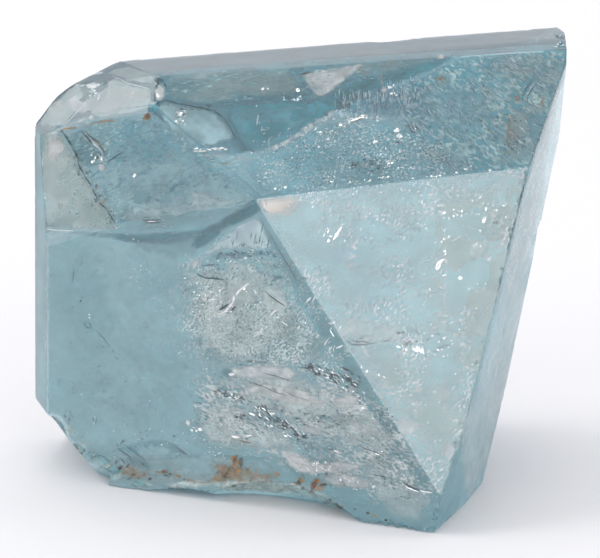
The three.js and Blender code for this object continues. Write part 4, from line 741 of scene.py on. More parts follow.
    ("dark", 0.138, 90, [(-19.25, -2.54, 33.84), (-18.62, -2.72, 34.39), (-18.0, -2.93, 34.85), (-17.37, -3.15, 35.2)]),
    ("dark", 0.158, 91, [(-15.65, -5.34, 28.64), (-14.83, -5.72, 28.73), (-13.8, -6.18, 28.84)]),
    ("dark", 0.128, 92, [(-15.44, -5.49, 28.42), (-14.62, -5.86, 28.51), (-13.7, -6.27, 28.66)]),
    ("glint", 0.099, 93, [(-15.14, -5.62, 28.57), (-14.21, -6.04, 28.67)]),
    ("dark", 0.089, 94, [(-15.54, -5.34, 28.89), (-14.83, -5.66, 29.02)]),
    ("pale", 0.118, 95, [(-23.76, 0.47, 36.96), (-22.15, 0.97, 38.61), (-21.36, 1.5, 39.64)]),
    ("pale", 0.099, 96, [(-19.01, 2.95, 41.58), (-17.0, 0.31, 41.3), (-14.79, -1.4, 41.11)]),
    ("dark", 0.177, 97, [(-14.08, -0.12, 42.6), (-13.96, -0.63, 42.09), (-14.14, -1.17, 41.58), (-14.52, -1.73, 41.07)]),
    ("dark", 0.138, 98, [(-13.29, -2.58, 40.12), (-13.88, -2.63, 40.13), (-14.37, -2.93, 39.88)]),
    ("rust", 0.197, 99, [(-8.0, -7.34, 34.82), (-7.41, -7.38, 34.73), (-6.82, -7.24, 34.8)]),
    ("dark", 0.217, 100, [(-13.49, -2.44, 40.18), (-12.9, -2.48, 40.08), (-12.09, -2.63, 39.86), (-11.1, -2.67, 39.72)]),
    ("dark", 0.197, 101, [(-11.1, -2.67, 39.72), (-10.3, -2.78, 39.53), (-9.4, -2.83, 39.39), (-8.6, -2.98, 39.17)]),
    ("dark", 0.217, 102, [(-8.6, -2.98, 39.17), (-8.0, -3.19, 38.9), (-7.59, -3.41, 38.65)]),
    ("dark", 0.118, 103, [(-7.59, -3.4, 38.64), (-7.08, -3.96, 38.04), (-6.67, -4.61, 37.37), (-6.27, -5.17, 36.77)]),
    ("dark", 0.158, 104, [(0.07, 0.85, 42.11), (0.68, 1.08, 42.27), (1.28, 1.22, 42.35)]),
    ("rust", 0.118, 105, [(-0.13, 0.73, 42.03), (0.48, 0.92, 42.15), (1.18, 1.15, 42.32)]),
    ("pale", 0.177, 106, [(-4.12, -2.83, 38.83), (-4.16, -3.27, 38.41), (-4.25, -3.88, 37.82)]),
    ("pale", 0.108, 107, [(-3.71, -3.83, 37.81), (-3.8, -4.35, 37.31)]),
    ("pale", 0.197, 108, [(-2.61, -4.59, 36.95), (-3.0, -4.88, 36.71), (-3.1, -5.32, 36.3), (-2.95, -5.73, 35.88)]),
    ("pale", 0.148, 109, [(-2.95, -5.73, 35.88), (-2.3, -5.59, 35.95), (-1.71, -5.29, 36.19)]),
    ("glint", 0.167, 110, [(4.86, -2.83, 38.03), (5.57, -2.56, 38.23), (6.17, -2.34, 38.39)]),
    ("rust", 0.118, 111, [(5.06, -2.95, 37.9), (5.77, -2.68, 38.1), (6.37, -2.37, 38.35)]),
    ("glint", 0.315, 112, [(6.57, -2.27, 38.43), (6.78, -2.03, 38.63)]),
    ("teal", 0.217, 113, [(23.72, 2.42, 41.31), (23.18, 1.84, 40.8), (22.73, 1.19, 40.2), (22.48, 0.47, 39.52)]),
    ("teal", 0.138, 114, [(24.01, 2.09, 40.96), (23.46, 1.52, 40.45), (23.01, 0.77, 39.77), (23.06, 0.08, 39.08)]),
    ("pale", 0.118, 115, [(23.91, 2.16, 41.05), (23.36, 1.58, 40.55), (23.02, 1.02, 40.03)]),
    ("rust", 0.177, 116, [(21.17, -1.14, 38.1), (21.03, -1.84, 37.43), (20.89, -2.55, 36.75), (20.75, -3.24, 36.08)]),
    ("glint", 0.177, 117, [(14.35, -9.55, 25.69), (14.05, -9.62, 25.61), (13.85, -9.75, 25.34), (13.8, -9.9, 24.97), (13.55, -10.04, 24.7)]),
    ("glint", 0.148, 118, [(13.55, -10.04, 24.7), (13.4, -9.99, 24.89), (13.55, -9.83, 25.26), (13.85, -9.69, 25.52)]),
    ("dark", 0.118, 119, [(13.95, -9.71, 25.43), (13.75, -9.88, 25.07)]),
    ("pale", 0.128, 120, [(11.77, -10.06, 25.32), (12.27, -9.89, 25.58), (12.76, -9.78, 25.65)]),
    ("pale", 0.099, 121, [(14.86, -8.88, 27.25), (15.46, -8.69, 27.51), (15.96, -8.52, 27.77)]),
    ("pale", 0.099, 122, [(11.06, -11.19, 22.57), (11.86, -10.94, 22.91), (13.04, -10.84, 22.68), (14.14, -10.63, 22.82)]),
    ("pale", 0.089, 123, [(11.27, -10.88, 23.3), (11.96, -10.99, 22.72), (12.45, -11.03, 22.42)]),
    ("glint", 0.197, 124, [(3.3, -10.41, 27.84), (3.69, -10.15, 28.38), (4.09, -9.89, 28.92), (4.38, -9.71, 29.28)]),
    ("pale", 0.236, 125, [(2.32, -10.39, 28.23), (2.51, -10.19, 28.69), (2.81, -10.01, 29.05)]),
    ("dark", 0.167, 126, [(4.56, -13.7, 18.5), (5.15, -13.73, 18.15), (6.13, -13.62, 18.07), (7.4, -13.38, 18.2)]),
    ("dark", 0.128, 127, [(4.95, -13.54, 18.75), (5.54, -13.6, 18.36), (6.23, -13.47, 18.43), (6.91, -13.44, 18.22)]),
    ("dark", 0.177, 128, [(8.09, -13.21, 18.35), (8.58, -13.15, 18.33), (8.88, -13.04, 18.51)]),
    ("glint", 0.177, 129, [(11.44, -12.93, 17.76), (11.83, -13.01, 17.37), (12.22, -13.09, 16.99)]),
    ("dark", 0.099, 130, [(22.61, -5.42, 33.55), (22.3, -5.92, 32.34), (21.88, -6.5, 30.94), (21.47, -7.11, 29.46)]),
    ("dark", 0.089, 131, [(21.47, -7.11, 29.46), (21.05, -7.72, 27.98), (20.54, -8.42, 26.32)]),
]

FLAKES = [
    ("deepf", 22, (-4.59, -10.0, 27.46), 0, (1.77, 0.39), (0.39, 0.09), 78, 16, 0.6, 1),
    ("deepf", 26, (-8.37, -8.38, 27.77), 0, (1.77, 0.69), (0.3, 0.13), 35, 25, 0.6, 2),
    ("bright", 16, (-8.57, -8.29, 27.34), 0, (1.97, 0.79), (0.18, 0.11), 35, 25, 0.6, 3),
    ("glint", 7, (-5.52, -9.63, 22.68), 0, (0.49, 0.39), (0.24, 0.14), 40, 40, 0.6, 4),
    ("glint", 6, (-6.93, -9.04, 20.57), 0, (0.49, 0.39), (0.24, 0.14), 30, 40, 0.6, 5),
    ("bright", 120, (-8.44, -8.4, 21.01), 0, (2.17, 1.97), (0.24, 0.13), 35, 25, 0.6, 6),
    ("glint", 26, (-8.44, -8.4, 21.01), 0, (1.97, 1.58), (0.22, 0.12), 35, 50, 0.6, 7),
    ("glint", 34, (-4.84, -9.91, 18.96), 0, (4.53, 3.35), (0.18, 0.11), 40, 50, 0.6, 8),
    ("bright", 46, (-9.33, -7.96, 21.31), 0, (1.38, 0.69), (0.28, 0.16), 20, 25, 0.6, 9),
    ("bright", 190, (-5.24, -9.74, 18.91), 0, (5.91, 3.74), (0.19, 0.11), 40, 25, 0.6, 10),
    ("bright", 110, (-4.8, -9.79, 22.64), 0, (5.52, 3.94), (0.18, 0.11), 45, 25, 0.6, 11),
    ("pale", 120, (-5.32, -9.57, 19.5), 0, (6.11, 4.53), (0.26, 0.12), 40, 25, 0.6, 12),
    ("bright", 60, (1.89, -12.66, 18.74), 0, (2.17, 1.97), (0.37, 0.12), 58, 14, 0.6, 13),
    ("dark", 60, (-4.81, -9.78, 19.76), 0, (6.3, 5.52), (0.18, 0.1), 40, 25, 0.6, 14),
    ("deepf", 60, (-4.31, -9.92, 19.6), 0, (5.91, 5.12), (0.26, 0.15), 40, 25, 0.6, 15),
    ("bright", 40, (-4.79, -9.84, 26.11), 0, (3.35, 0.69), (0.22, 0.13), 20, 25, 0.6, 16),
    ("deepf", 60, (-5.38, -9.59, 26.05), 0, (3.74, 0.44), (0.3, 0.14), -40, 25, 0.6, 17),
    ("bright", 24, (-10.63, -7.4, 22.7), 0, (0.99, 0.79), (0.26, 0.15), 0, 25, 0.6, 18),
    ("dark", 14, (-10.86, -7.3, 20.92), 0, (0.99, 2.56), (0.22, 0.12), 40, 25, 0.6, 19),
    ("bright", 60, (-10.3, -7.49, 15.77), 0, (1.18, 3.94), (0.18, 0.11), 30, 25, 0.6, 20),
    ("dark", 16, (0.8, -12.28, 15.59), 0, (0.69, 0.26), (0.49, 0.19), -12, 14, 0.1, 21),
    ("pair", 26, (2.08, -12.81, 15.29), -26, (1.28, 0.44), (0.51, 0.15), -42, 12, 0.2, 22),
    ("pair", 36, (3.74, -13.51, 14.89), -26, (1.58, 0.54), (0.51, 0.14), -42, 12, 0.2, 23),
    ("pair", 22, (5.4, -14.2, 14.6), -26, (0.99, 0.39), (0.55, 0.15), -34, 10, 0.2, 24),
    ("dark", 12, (5.2, -14.12, 15.29), -30, (1.18, 0.2), (0.49, 0.13), -28, 8, 0.15, 25),
    ("glint", 26, (3.35, -13.35, 14.54), -26, (2.56, 0.49), (0.33, 0.12), -35, 20, 0.6, 26),
    ("bright", 30, (5.02, -13.99, 13.61), -26, (2.17, 0.59), (0.33, 0.16), -30, 25, 0.6, 27),
    ("deepf", 24, (4.54, -13.75, 13.75), -26, (2.56, 0.69), (0.45, 0.2), -35, 25, 0.6, 28),
    ("dark", 20, (-7.71, -8.7, 11.52), 0, (0.89, 0.39), (0.49, 0.16), -35, 25, 0.2, 29),
    ("dark", 12, (-6.09, -9.38, 11.63), 0, (0.79, 0.3), (0.45, 0.15), 10, 40, 0.2, 30),
    ("glint", 7, (-6.89, -9.0, 11.41), 0, (1.38, 0.39), (0.35, 0.16), -20, 25, 0.6, 31),
    ("pair", 12, (-5.8, -9.51, 9.46), 0, (0.59, 0.3), (0.47, 0.14), -25, 20, 0.2, 32),
    ("pair", 26, (-3.28, -10.57, 10.23), -40, (0.89, 0.79), (0.47, 0.14), -45, 12, 0.2, 33),
    ("pair", 38, (-1.68, -11.24, 9.19), -36, (1.38, 0.49), (0.47, 0.14), -42, 14, 0.2, 34),
    ("pair", 16, (0.02, -11.95, 8.17), -36, (0.79, 0.39), (0.47, 0.15), -30, 20, 0.2, 35),
    ("dark", 8, (0.71, -12.24, 8.27), 0, (0.49, 0.3), (0.43, 0.17), 10, 30, 0.1, 36),
    ("glint", 26, (-2.68, -10.83, 9.47), -36, (2.36, 0.79), (0.3, 0.12), -30, 25, 0.6, 37),
    ("bright", 50, (-4.88, -9.83, 9.78), 0, (2.36, 0.89), (0.3, 0.15), -20, 25, 0.6, 38),
    ("dark", 30, (-3.66, -10.33, 11.0), -12, (2.96, 0.49), (0.26, 0.13), -30, 25, 0.6, 39),
    ("dark", 30, (1.12, -12.34, 9.98), -12, (3.94, 0.79), (0.24, 0.14), -25, 25, 0.6, 40),
    ("deepf", 40, (2.11, -12.73, 9.59), -14, (4.53, 1.18), (0.39, 0.15), -22, 25, 0.6, 41),
    ("dark", 26, (7.18, -14.89, 10.41), -50, (1.58, 1.77), (0.26, 0.16), -40, 25, 0.6, 42),
    ("glint", 12, (6.39, -14.58, 11.54), -50, (1.38, 0.89), (0.24, 0.16), -30, 25, 0.6, 43),
    ("bright", 44, (7.18, -14.88, 10.4), -50, (1.97, 2.17), (0.26, 0.14), -40, 25, 0.6, 44),
    ("dark", 40, (-1.66, -11.19, 12.52), -12, (3.94, 0.69), (0.15, 0.09), -20, 25, 0.6, 45),
    ("dark", 40, (3.1, -13.2, 5.46), -8, (4.33, 0.69), (0.15, 0.09), -20, 25, 0.6, 46),
    ("bright", 60, (-7.42, -8.73, 7.31), 0, (3.55, 1.18), (0.26, 0.15), 10, 25, 0.6, 47),
    ("pale", 60, (-8.44, -8.3, 7.81), 0, (3.94, 1.97), (0.35, 0.13), 25, 25, 0.6, 48),
    ("bright", 40, (-10.0, -7.66, 5.46), 0, (3.35, 1.58), (0.2, 0.12), 10, 25, 0.6, 49),
    ("glint", 34, (2.11, -12.8, 5.11), 0, (0.99, 0.59), (0.3, 0.18), -20, 60, 0.6, 50),
    ("bright", 60, (1.91, -12.7, 4.87), 0, (2.17, 0.79), (0.3, 0.18), -20, 60, 0.6, 51),
    ("deepf", 44, (2.71, -13.02, 4.56), -12, (3.55, 0.89), (0.35, 0.16), -15, 30, 0.6, 52),
    ("dark", 18, (1.91, -12.7, 4.97), 0, (1.77, 0.59), (0.26, 0.13), -20, 60, 0.6, 53),
    ("bright", 80, (5.27, -14.11, 4.11), -18, (2.76, 0.59), (0.28, 0.14), -10, 25, 0.6, 54),
    ("bright", 110, (2.11, -12.72, 9.07), -12, (6.9, 3.55), (0.2, 0.12), -20, 25, 0.6, 55),
    ("pale", 90, (1.12, -12.3, 8.93), -12, (6.9, 3.35), (0.33, 0.12), -18, 10, 0.6, 56),
    ("dark", 50, (1.12, -12.3, 8.93), -12, (7.88, 3.55), (0.18, 0.11), -20, 25, 0.6, 57),
    ("bright", 40, (9.46, -15.83, 4.93), 0, (2.56, 2.36), (0.18, 0.11), -20, 25, 0.6, 58),
    ("dark", 30, (9.74, -15.97, 5.39), 0, (2.17, 2.17), (0.19, 0.12), -30, 25, 0.6, 59),
    ("dark", 46, (-20.24, -3.41, 16.67), 0, (5.71, 9.06), (0.17, 0.13), 30, 25, 0.6, 60),
    ("bright", 30, (-19.2, -3.81, 15.73), 0, (5.91, 9.06), (0.14, 0.11), 30, 25, 0.6, 61),
    ("dark", 16, (-24.68, -1.57, 8.6), 0, (1.97, 2.56), (0.2, 0.15), 30, 25, 0.6, 62),
    ("dark", 14, (-23.88, -1.92, 6.54), 0, (0.59, 0.99), (0.24, 0.13), 70, 25, 0.6, 63),
    ("dark", 10, (-23.02, -2.26, 15.27), 0, (1.38, 2.96), (0.18, 0.13), 30, 25, 0.6, 64),
    ("dark", 14, (-15.2, -5.52, 5.59), 0, (4.33, 2.56), (0.2, 0.14), 30, 25, 0.6, 65),
    ("bright", 16, (-15.2, -5.52, 5.59), 0, (4.33, 2.56), (0.16, 0.12), 30, 25, 0.6, 66),
    ("dark", 6, (-18.37, -4.23, 4.82), 0, (0.69, 0.3), (0.24, 0.16), 30, 25, 0.6, 67),
    ("dark", 1, (-16.24, -5.14, 6.26), 0, (0.04, 0.03), (0.3, 0.26), 30, 25, 0.6, 68),
    ("glint", 1, (-16.77, -4.92, 6.02), 0, (0.04, 0.03), (0.26, 0.2), 30, 25, 0.6, 69),
    ("dark", 4, (-21.86, -2.77, 19.66), 0, (0.49, 0.3), (0.26, 0.16), 60, 25, 0.6, 70),
    ("glint", 5, (-21.37, -2.99, 18.02), 0, (0.3, 0.2), (0.24, 0.15), 20, 25, 0.6, 71),
    ("dark", 5, (-21.51, -2.93, 16.52), 0, (0.59, 0.3), (0.24, 0.15), 20, 25, 0.6, 72),
    ("glint", 3, (-21.09, -3.11, 6.93), 0, (0.2, 0.3), (0.3, 0.16), 80, 25, 0.6, 73),
    ("dark", 8, (-6.25, -9.33, 1.75), 0, (0.2, 0.14), (0.3, 0.22), 60, 25, 0.05, 74),
    ("dark", 3, (-4.93, -9.88, 1.85), 0, (0.2, 0.1), (0.32, 0.22), 0, 25, 0.05, 75),
    ("dark", 3, (-2.7, -10.82, 1.97), 0, (0.3, 0.1), (0.3, 0.22), 0, 25, 0.05, 76),
    ("dark", 10, (-4.93, -9.89, 2.38), 0, (5.91, 0.24), (0.2, 0.15), 0, 25, 0.05, 77),
    ("dark", 12, (-17.59, -4.58, 1.57), 0, (0.99, 0.59), (0.3, 0.19), -30, 25, 0.05, 78),
    ("dark", 10, (-14.21, -6.0, 2.18), 0, (0.99, 0.3), (0.24, 0.15), -20, 25, 0.05, 79),
    ("dark", 10, (-12.13, -6.87, 1.95), 0, (2.56, 0.49), (0.22, 0.14), 0, 25, 0.05, 80),
    ("rust", 14, (-17.59, -4.59, 1.68), 0, (0.99, 0.59), (0.3, 0.2), -20, 25, 0.05, 81),
    ("rust", 12, (0.11, -12.0, 3.03), 0, (1.18, 0.39), (0.26, 0.18), -30, 25, 0.05, 82),
    ("dark", 6, (-0.09, -11.91, 3.0), 0, (0.49, 0.3), (0.26, 0.16), -60, 25, 0.05, 83),
    ("dark", 20, (-21.87, -1.56, 32.7), 0, (0.49, 0.49), (0.32, 0.16), -50, 25, 0.08, 84),
    ("dark", 12, (-20.31, -2.84, 30.1), -20, (0.39, 0.99), (0.3, 0.14), -60, 25, 0.08, 85),
    ("dark", 12, (-18.96, -3.79, 28.67), -20, (0.39, 0.89), (0.32, 0.14), -30, 25, 0.08, 86),
    ("rust", 18, (-20.83, -2.4, 31.03), 30, (1.77, 2.56), (0.24, 0.15), -55, 25, 0.08, 87),
    ("pale", 12, (-20.31, -2.8, 30.3), -20, (0.59, 1.38), (0.26, 0.14), -60, 25, 0.08, 88),
    ("dark", 6, (-15.1, -3.52, 38.94), 0, (0.39, 0.3), (0.3, 0.18), 30, 25, 0.05, 89),
    ("glint", 22, (-20.29, -1.96, 34.33), 0, (0.69, 0.59), (0.32, 0.2), 30, 50, 0.6, 90),
    ("dark", 10, (-20.29, -1.96, 34.23), 0, (0.69, 0.59), (0.3, 0.16), 30, 50, 0.6, 91),
    ("bright", 20, (-20.08, -2.06, 34.25), 0, (0.89, 0.79), (0.26, 0.16), 20, 25, 0.6, 92),
    ("glint", 3, (-16.3, -4.15, 32.97), 0, (0.12, 0.12), (0.39, 0.26), 30, 25, 0.6, 93),
    ("bright", 6, (-16.25, -4.19, 32.88), 0, (0.3, 0.3), (0.24, 0.16), 30, 25, 0.6, 94),
    ("bright", 40, (-12.26, -6.53, 30.46), 0, (4.33, 1.38), (0.18, 0.11), 20, 25, 0.6, 95),
    ("dark", 40, (-12.57, -6.29, 30.91), 0, (4.92, 1.77), (0.2, 0.11), 20, 25, 0.6, 96),
    ("dark", 50, (-13.27, -5.26, 34.24), 0, (6.9, 3.55), (0.16, 0.09), 15, 25, 0.6, 97),
    ("bright", 30, (-13.27, -5.26, 34.24), 0, (6.9, 3.55), (0.13, 0.09), 15, 25, 0.6, 98),
    ("bright", 30, (-15.87, -5.22, 27.4), 0, (3.94, 0.79), (0.18, 0.11), 20, 25, 0.6, 99),
    ("dark", 22, (-24.01, -1.02, 29.68), 0, (2.36, 2.17), (0.2, 0.11), 70, 25, 0.6, 100),
    ("bright", 26, (-24.22, -0.92, 29.65), 0, (2.36, 2.36), (0.18, 0.11), 70, 25, 0.6, 101),
    ("glint", 3, (-24.42, -0.56, 31.13), 0, (0.25, 0.3), (0.26, 0.16), 50, 25, 0.6, 102),
    ("dark", 4, (-24.64, -0.53, 30.71), 0, (0.3, 0.3), (0.3, 0.16), -40, 25, 0.6, 103),
    ("bright", 24, (-20.78, 2.13, 40.55), 0, (0.79, 0.99), (0.3, 0.18), -50, 50, 0.6, 104),
    ("pale", 16, (-20.75, 1.72, 40.21), 0, (0.79, 0.99), (0.3, 0.18), -50, 50, 0.6, 105),
    ("glint", 5, (-20.41, 1.09, 39.92), 0, (0.39, 0.39), (0.22, 0.16), 20, 25, 0.6, 106),
    ("dark", 8, (-23.79, 3.86, 40.01), 0, (0.99, 0.39), (0.22, 0.12), 30, 25, 0.6, 107),
    ("rust", 8, (-23.8, 1.05, 37.46), 0, (1.18, 0.3), (0.26, 0.14), 30, 25, 0.6, 108),
    ("dark", 16, (-13.75, -0.96, 41.74), 0, (0.49, 0.69), (0.49, 0.14), -60, 16, 0.1, 109),
    ("glint", 8, (-13.9, -2.12, 40.64), 0, (0.39, 0.49), (0.39, 0.18), -60, 25, 0.6, 110),
    ("pale", 12, (-13.93, -1.5, 41.23), 0, (0.49, 0.99), (0.49, 0.14), -62, 16, 0.6, 111),
    ("dark", 16, (-10.69, -2.83, 39.55), 0, (2.36, 0.3), (0.28, 0.16), -15, 40, 0.6, 112),
    ("bright", 40, (-11.65, -3.86, 38.64), 0, (0.89, 0.79), (0.28, 0.16), 30, 50, 0.6, 113),
    ("glint", 14, (-11.85, -3.89, 38.65), 0, (0.49, 0.49), (0.32, 0.2), 30, 50, 0.6, 114),
    ("dark", 12, (-11.46, -3.75, 38.72), 0, (0.89, 0.79), (0.26, 0.12), 30, 50, 0.6, 115),
    ("bright", 50, (-10.24, -4.75, 37.6), 0, (2.56, 1.38), (0.15, 0.1), 30, 25, 0.6, 116),
    ("glint", 10, (-8.61, -6.24, 36.0), 0, (1.58, 0.2), (0.39, 0.14), 2, 12, 0.6, 117),
    ("bright", 24, (-8.81, -6.34, 35.92), 0, (1.77, 0.3), (0.44, 0.15), 4, 14, 0.6, 118),
    ("bright", 40, (0.67, -3.84, 37.41), 32, (3.35, 0.59), (0.22, 0.14), 40, 25, 0.6, 119),
    ("glint", 3, (-3.39, -0.55, 41.04), 0, (0.3, 0.2), (0.26, 0.22), 20, 25, 0.6, 120),
    ("glint", 4, (-0.23, -0.46, 40.81), 0, (0.2, 0.2), (0.26, 0.22), 20, 25, 0.6, 121),
    ("bright", 16, (-0.73, -1.02, 40.31), 0, (1.18, 0.49), (0.26, 0.18), -60, 25, 0.6, 122),
    ("glint", 1, (-4.32, -2.21, 39.53), 0, (0.05, 0.05), (0.3, 0.24), 20, 25, 0.6, 123),
    ("bright", 18, (-2.91, -4.48, 37.14), 0, (1.97, 1.38), (0.18, 0.12), 30, 25, 0.6, 124),
    ("dark", 3, (-4.77, -6.19, 35.69), 0, (0.15, 0.15), (0.32, 0.22), 20, 25, 0.6, 125),
    ("glint", 2, (-4.67, -6.29, 35.61), 0, (0.2, 0.1), (0.24, 0.16), 20, 25, 0.6, 126),
    # The comb and combd strokes here paint the light and shade of the upright combs in the upper front face.
    ("comb", 170, (7.91, -0.67, 39.84), 0, (4.33, 0.99), (1.38, 0.1), 89, 3, 0.2, 127),
    ("combd", 70, (8.11, -0.74, 39.76), 0, (4.33, 0.99), (1.28, 0.09), 89, 3, 0.2, 128),
    ("comb", 70, (10.66, 0.66, 40.8), 0, (2.36, 0.99), (1.18, 0.1), 87, 4, 0.2, 129),
    ("combd", 90, (7.9, -0.79, 39.64), 0, (4.33, 0.99), (1.18, 0.11), 89, 3, 0.2, 130),
    ("glint", 14, (9.75, 0.37, 40.66), 0, (0.99, 0.59), (0.3, 0.12), 85, 10, 0.6, 131),
    ("glint", 8, (6.07, -2.37, 38.34), 20, (0.89, 0.25), (0.44, 0.22), 22, 12, 0.6, 132),
    ("glint", 5, (4.36, -3.12, 37.78), 0, (0.3, 0.15), (0.32, 0.22), 20, 25, 0.6, 133),
    ("bright", 36, (6.27, -2.51, 38.16), 0, (2.36, 0.69), (0.26, 0.16), 20, 25, 0.6, 134),
    ("glint", 2, (9.65, -3.25, 37.15), 0, (0.12, 0.16), (0.64, 0.43), 35, 8, 0.05, 135),
    ("glint", 2, (10.04, -3.6, 36.76), 0, (0.12, 0.12), (0.64, 0.45), 15, 8, 0.05, 136),
    ("dark", 3, (10.02, -4.16, 36.22), 0, (0.25, 0.15), (0.49, 0.3), -70, 25, 0.05, 137),
    ("glint", 3, (8.31, -4.77, 35.79), 0, (0.3, 0.3), (0.35, 0.18), 55, 25, 0.6, 138),
    ("glint", 2, (10.0, -4.93, 35.47), 0, (0.1, 0.16), (0.39, 0.2), 80, 25, 0.6, 139),
    ("glint", 4, (8.88, -6.0, 34.54), 0, (0.39, 0.2), (0.32, 0.22), 40, 25, 0.6, 140),
    ("glint", 2, (7.53, -4.33, 36.31), 0, (0.12, 0.12), (0.3, 0.2), 60, 25, 0.6, 141),
    ("glint", 4, (9.54, -0.01, 40.33), 0, (0.3, 0.2), (0.35, 0.22), 20, 25, 0.6, 142),
    ("bright", 120, (4.53, -5.63, 35.26), 0, (6.5, 3.15), (0.22, 0.14), 50, 25, 0.6, 143),
    ("dark", 90, (5.02, -5.85, 35.0), 0, (6.3, 3.15), (0.2, 0.12), 50, 25, 0.6, 144),
    ("pale", 120, (3.04, -6.18, 34.87), 0, (7.09, 3.35), (0.28, 0.15), 50, 25, 0.6, 145),
    ("bright", 90, (0.07, -7.1, 34.26), 0, (3.94, 2.56), (0.19, 0.12), 40, 25, 0.6, 146),
    ("dark", 46, (0.07, -7.1, 34.26), 0, (4.53, 2.56), (0.18, 0.11), 40, 25, 0.6, 147),
    ("bright", 50, (2.46, -4.37, 36.71), 0, (1.18, 1.18), (0.2, 0.13), 60, 25, 0.6, 148),
    ("glint", 14, (2.56, -4.38, 36.72), 0, (0.79, 0.79), (0.19, 0.13), 60, 25, 0.6, 149),
    ("dark", 40, (6.99, -6.29, 34.39), 0, (1.77, 0.59), (0.35, 0.18), 10, 30, 0.6, 150),
    ("dark", 6, (5.09, -7.74, 33.21), 0, (0.15, 0.49), (0.3, 0.12), 75, 25, 0.6, 151),
    # The pairs, with the comb strokes after them, paint the light and shade of the ripples in the upper front face.
    ("pairs", 230, (15.66, -0.69, 39.02), 0, (4.92, 3.55), (0.79, 0.13), -58, 12, 0.3, 152),
    ("pairs", 150, (20.8, 1.15, 40.31), 0, (4.14, 2.96), (0.79, 0.13), -55, 14, 0.3, 153),
    ("pairs", 130, (17.02, -3.76, 35.87), 0, (5.12, 2.17), (0.59, 0.13), -60, 18, 0.3, 154),
    ("comb", 110, (22.28, 0.54, 39.61), 0, (3.35, 4.92), (0.79, 0.12), -50, 16, 0.2, 155),
    ("comb", 60, (24.49, 3.18, 42.0), 0, (1.97, 1.77), (0.89, 0.12), -48, 12, 0.2, 156),
    ("combd", 110, (20.18, -0.92, 38.35), 0, (4.92, 4.33), (0.69, 0.12), -56, 16, 0.3, 157),
    ("comb", 50, (20.41, 3.19, 42.41), 0, (2.96, 0.69), (0.79, 0.14), -42, 10, 0.2, 158),
    ("dark", 60, (20.08, -2.67, 36.67), 0, (3.15, 2.56), (0.39, 0.11), -56, 25, 0.6, 159),
    ("bright", 60, (18.04, -3.25, 36.28), 0, (5.91, 2.96), (0.2, 0.12), 60, 25, 0.6, 160),
    ("dark", 60, (16.11, -1.69, 37.99), 0, (5.52, 3.55), (0.33, 0.1), -60, 16, 0.6, 161),
    ("dark", 5, (14.34, 1.68, 41.56), 0, (0.49, 0.2), (0.26, 0.16), -10, 25, 0.6, 162),
    ("dark", 12, (21.02, -2.02, 37.26), 0, (0.2, 1.28), (0.26, 0.13), 80, 25, 0.6, 163),
    ("rust", 20, (20.66, -3.08, 36.25), 0, (1.97, 1.58), (0.22, 0.14), 0, 25, 0.6, 164),
    ("glint", 5, (16.93, -5.67, 34.06), 0, (0.99, 0.3), (0.3, 0.2), 45, 25, 0.6, 165),
    ("glint", 6, (13.03, -3.7, 36.38), 0, (3.35, 1.58), (0.22, 0.16), 60, 25, 0.6, 166),
    ("bright", 20, (13.95, -5.48, 34.52), 0, (4.92, 0.79), (0.24, 0.15), 30, 25, 0.6, 167),
    ("glint", 18, (3.02, -8.28, 32.94), 7, (6.11, 0.22), (0.28, 0.15), 25, 25, 0.05, 168),
    ("glint", 14, (15.41, -6.34, 33.61), 7, (5.91, 0.2), (0.24, 0.15), 25, 25, 0.05, 169),
    ("glint", 26, (15.37, -7.87, 29.74), 0, (0.79, 0.59), (0.24, 0.17), 50, 50, 0.6, 170),
    ("glint", 5, (14.28, -7.96, 29.97), 0, (0.3, 0.2), (0.33, 0.2), 40, 25, 0.6, 171),
    ("glint", 10, (18.27, -7.37, 29.93), 0, (0.39, 0.89), (0.28, 0.18), 60, 40, 0.6, 172),
    ("glint", 4, (18.26, -7.73, 29.0), 0, (0.2, 0.2), (0.41, 0.28), 60, 20, 0.6, 173),
    ("glint", 8, (19.07, -7.08, 30.37), 0, (0.69, 0.39), (0.22, 0.16), 30, 25, 0.6, 174),
    ("glint", 7, (20.37, -6.8, 30.61), 0, (0.49, 0.14), (0.3, 0.17), 20, 25, 0.6, 175),
    ("dark", 2, (15.47, -8.12, 29.09), 0, (0.24, 0.1), (0.35, 0.22), 10, 25, 0.6, 176),
    ("dark", 4, (19.36, -7.58, 28.96), 0, (0.26, 0.12), (0.33, 0.22), -10, 25, 0.6, 177),
    ("glint", 12, (13.86, -8.94, 27.47), 0, (0.59, 0.3), (0.32, 0.19), 60, 40, 0.6, 178),
    ("glint", 9, (14.17, -8.52, 28.48), 0, (0.49, 0.39), (0.26, 0.16), 50, 25, 0.6, 179),
    ("glint", 4, (14.25, -9.34, 26.25), 0, (0.2, 0.3), (0.3, 0.18), 60, 25, 0.6, 180),
    ("glint", 9, (17.55, -8.37, 27.53), 0, (0.99, 0.89), (0.19, 0.13), 50, 25, 0.6, 181),
    ("glint", 8, (13.95, -9.77, 25.24), 0, (0.26, 0.44), (0.26, 0.15), 60, 50, 0.6, 182),
    ("glint", 2, (15.93, -9.98, 23.87), 0, (0.05, 0.04), (0.35, 0.32), 10, 5, 0.02, 183),
    ("glint", 2, (16.53, -9.66, 24.5), 0, (0.1, 0.14), (0.3, 0.16), 70, 25, 0.6, 184),
    ("glint", 3, (14.24, -10.15, 24.12), 0, (0.1, 0.2), (0.26, 0.14), 80, 25, 0.6, 185),
    ("bright", 30, (12.65, -10.81, 22.87), 0, (1.77, 0.59), (0.2, 0.11), 20, 25, 0.6, 186),
    ("bright", 60, (14.87, -8.1, 29.29), 0, (3.55, 2.36), (0.22, 0.13), 50, 30, 0.6, 187),
    ("bright", 70, (15.35, -9.22, 26.01), 0, (2.96, 3.94), (0.22, 0.13), 55, 20, 0.6, 188),
    ("bright", 150, (9.91, -8.25, 30.85), 0, (11.82, 1.58), (0.22, 0.13), 50, 20, 0.6, 189),
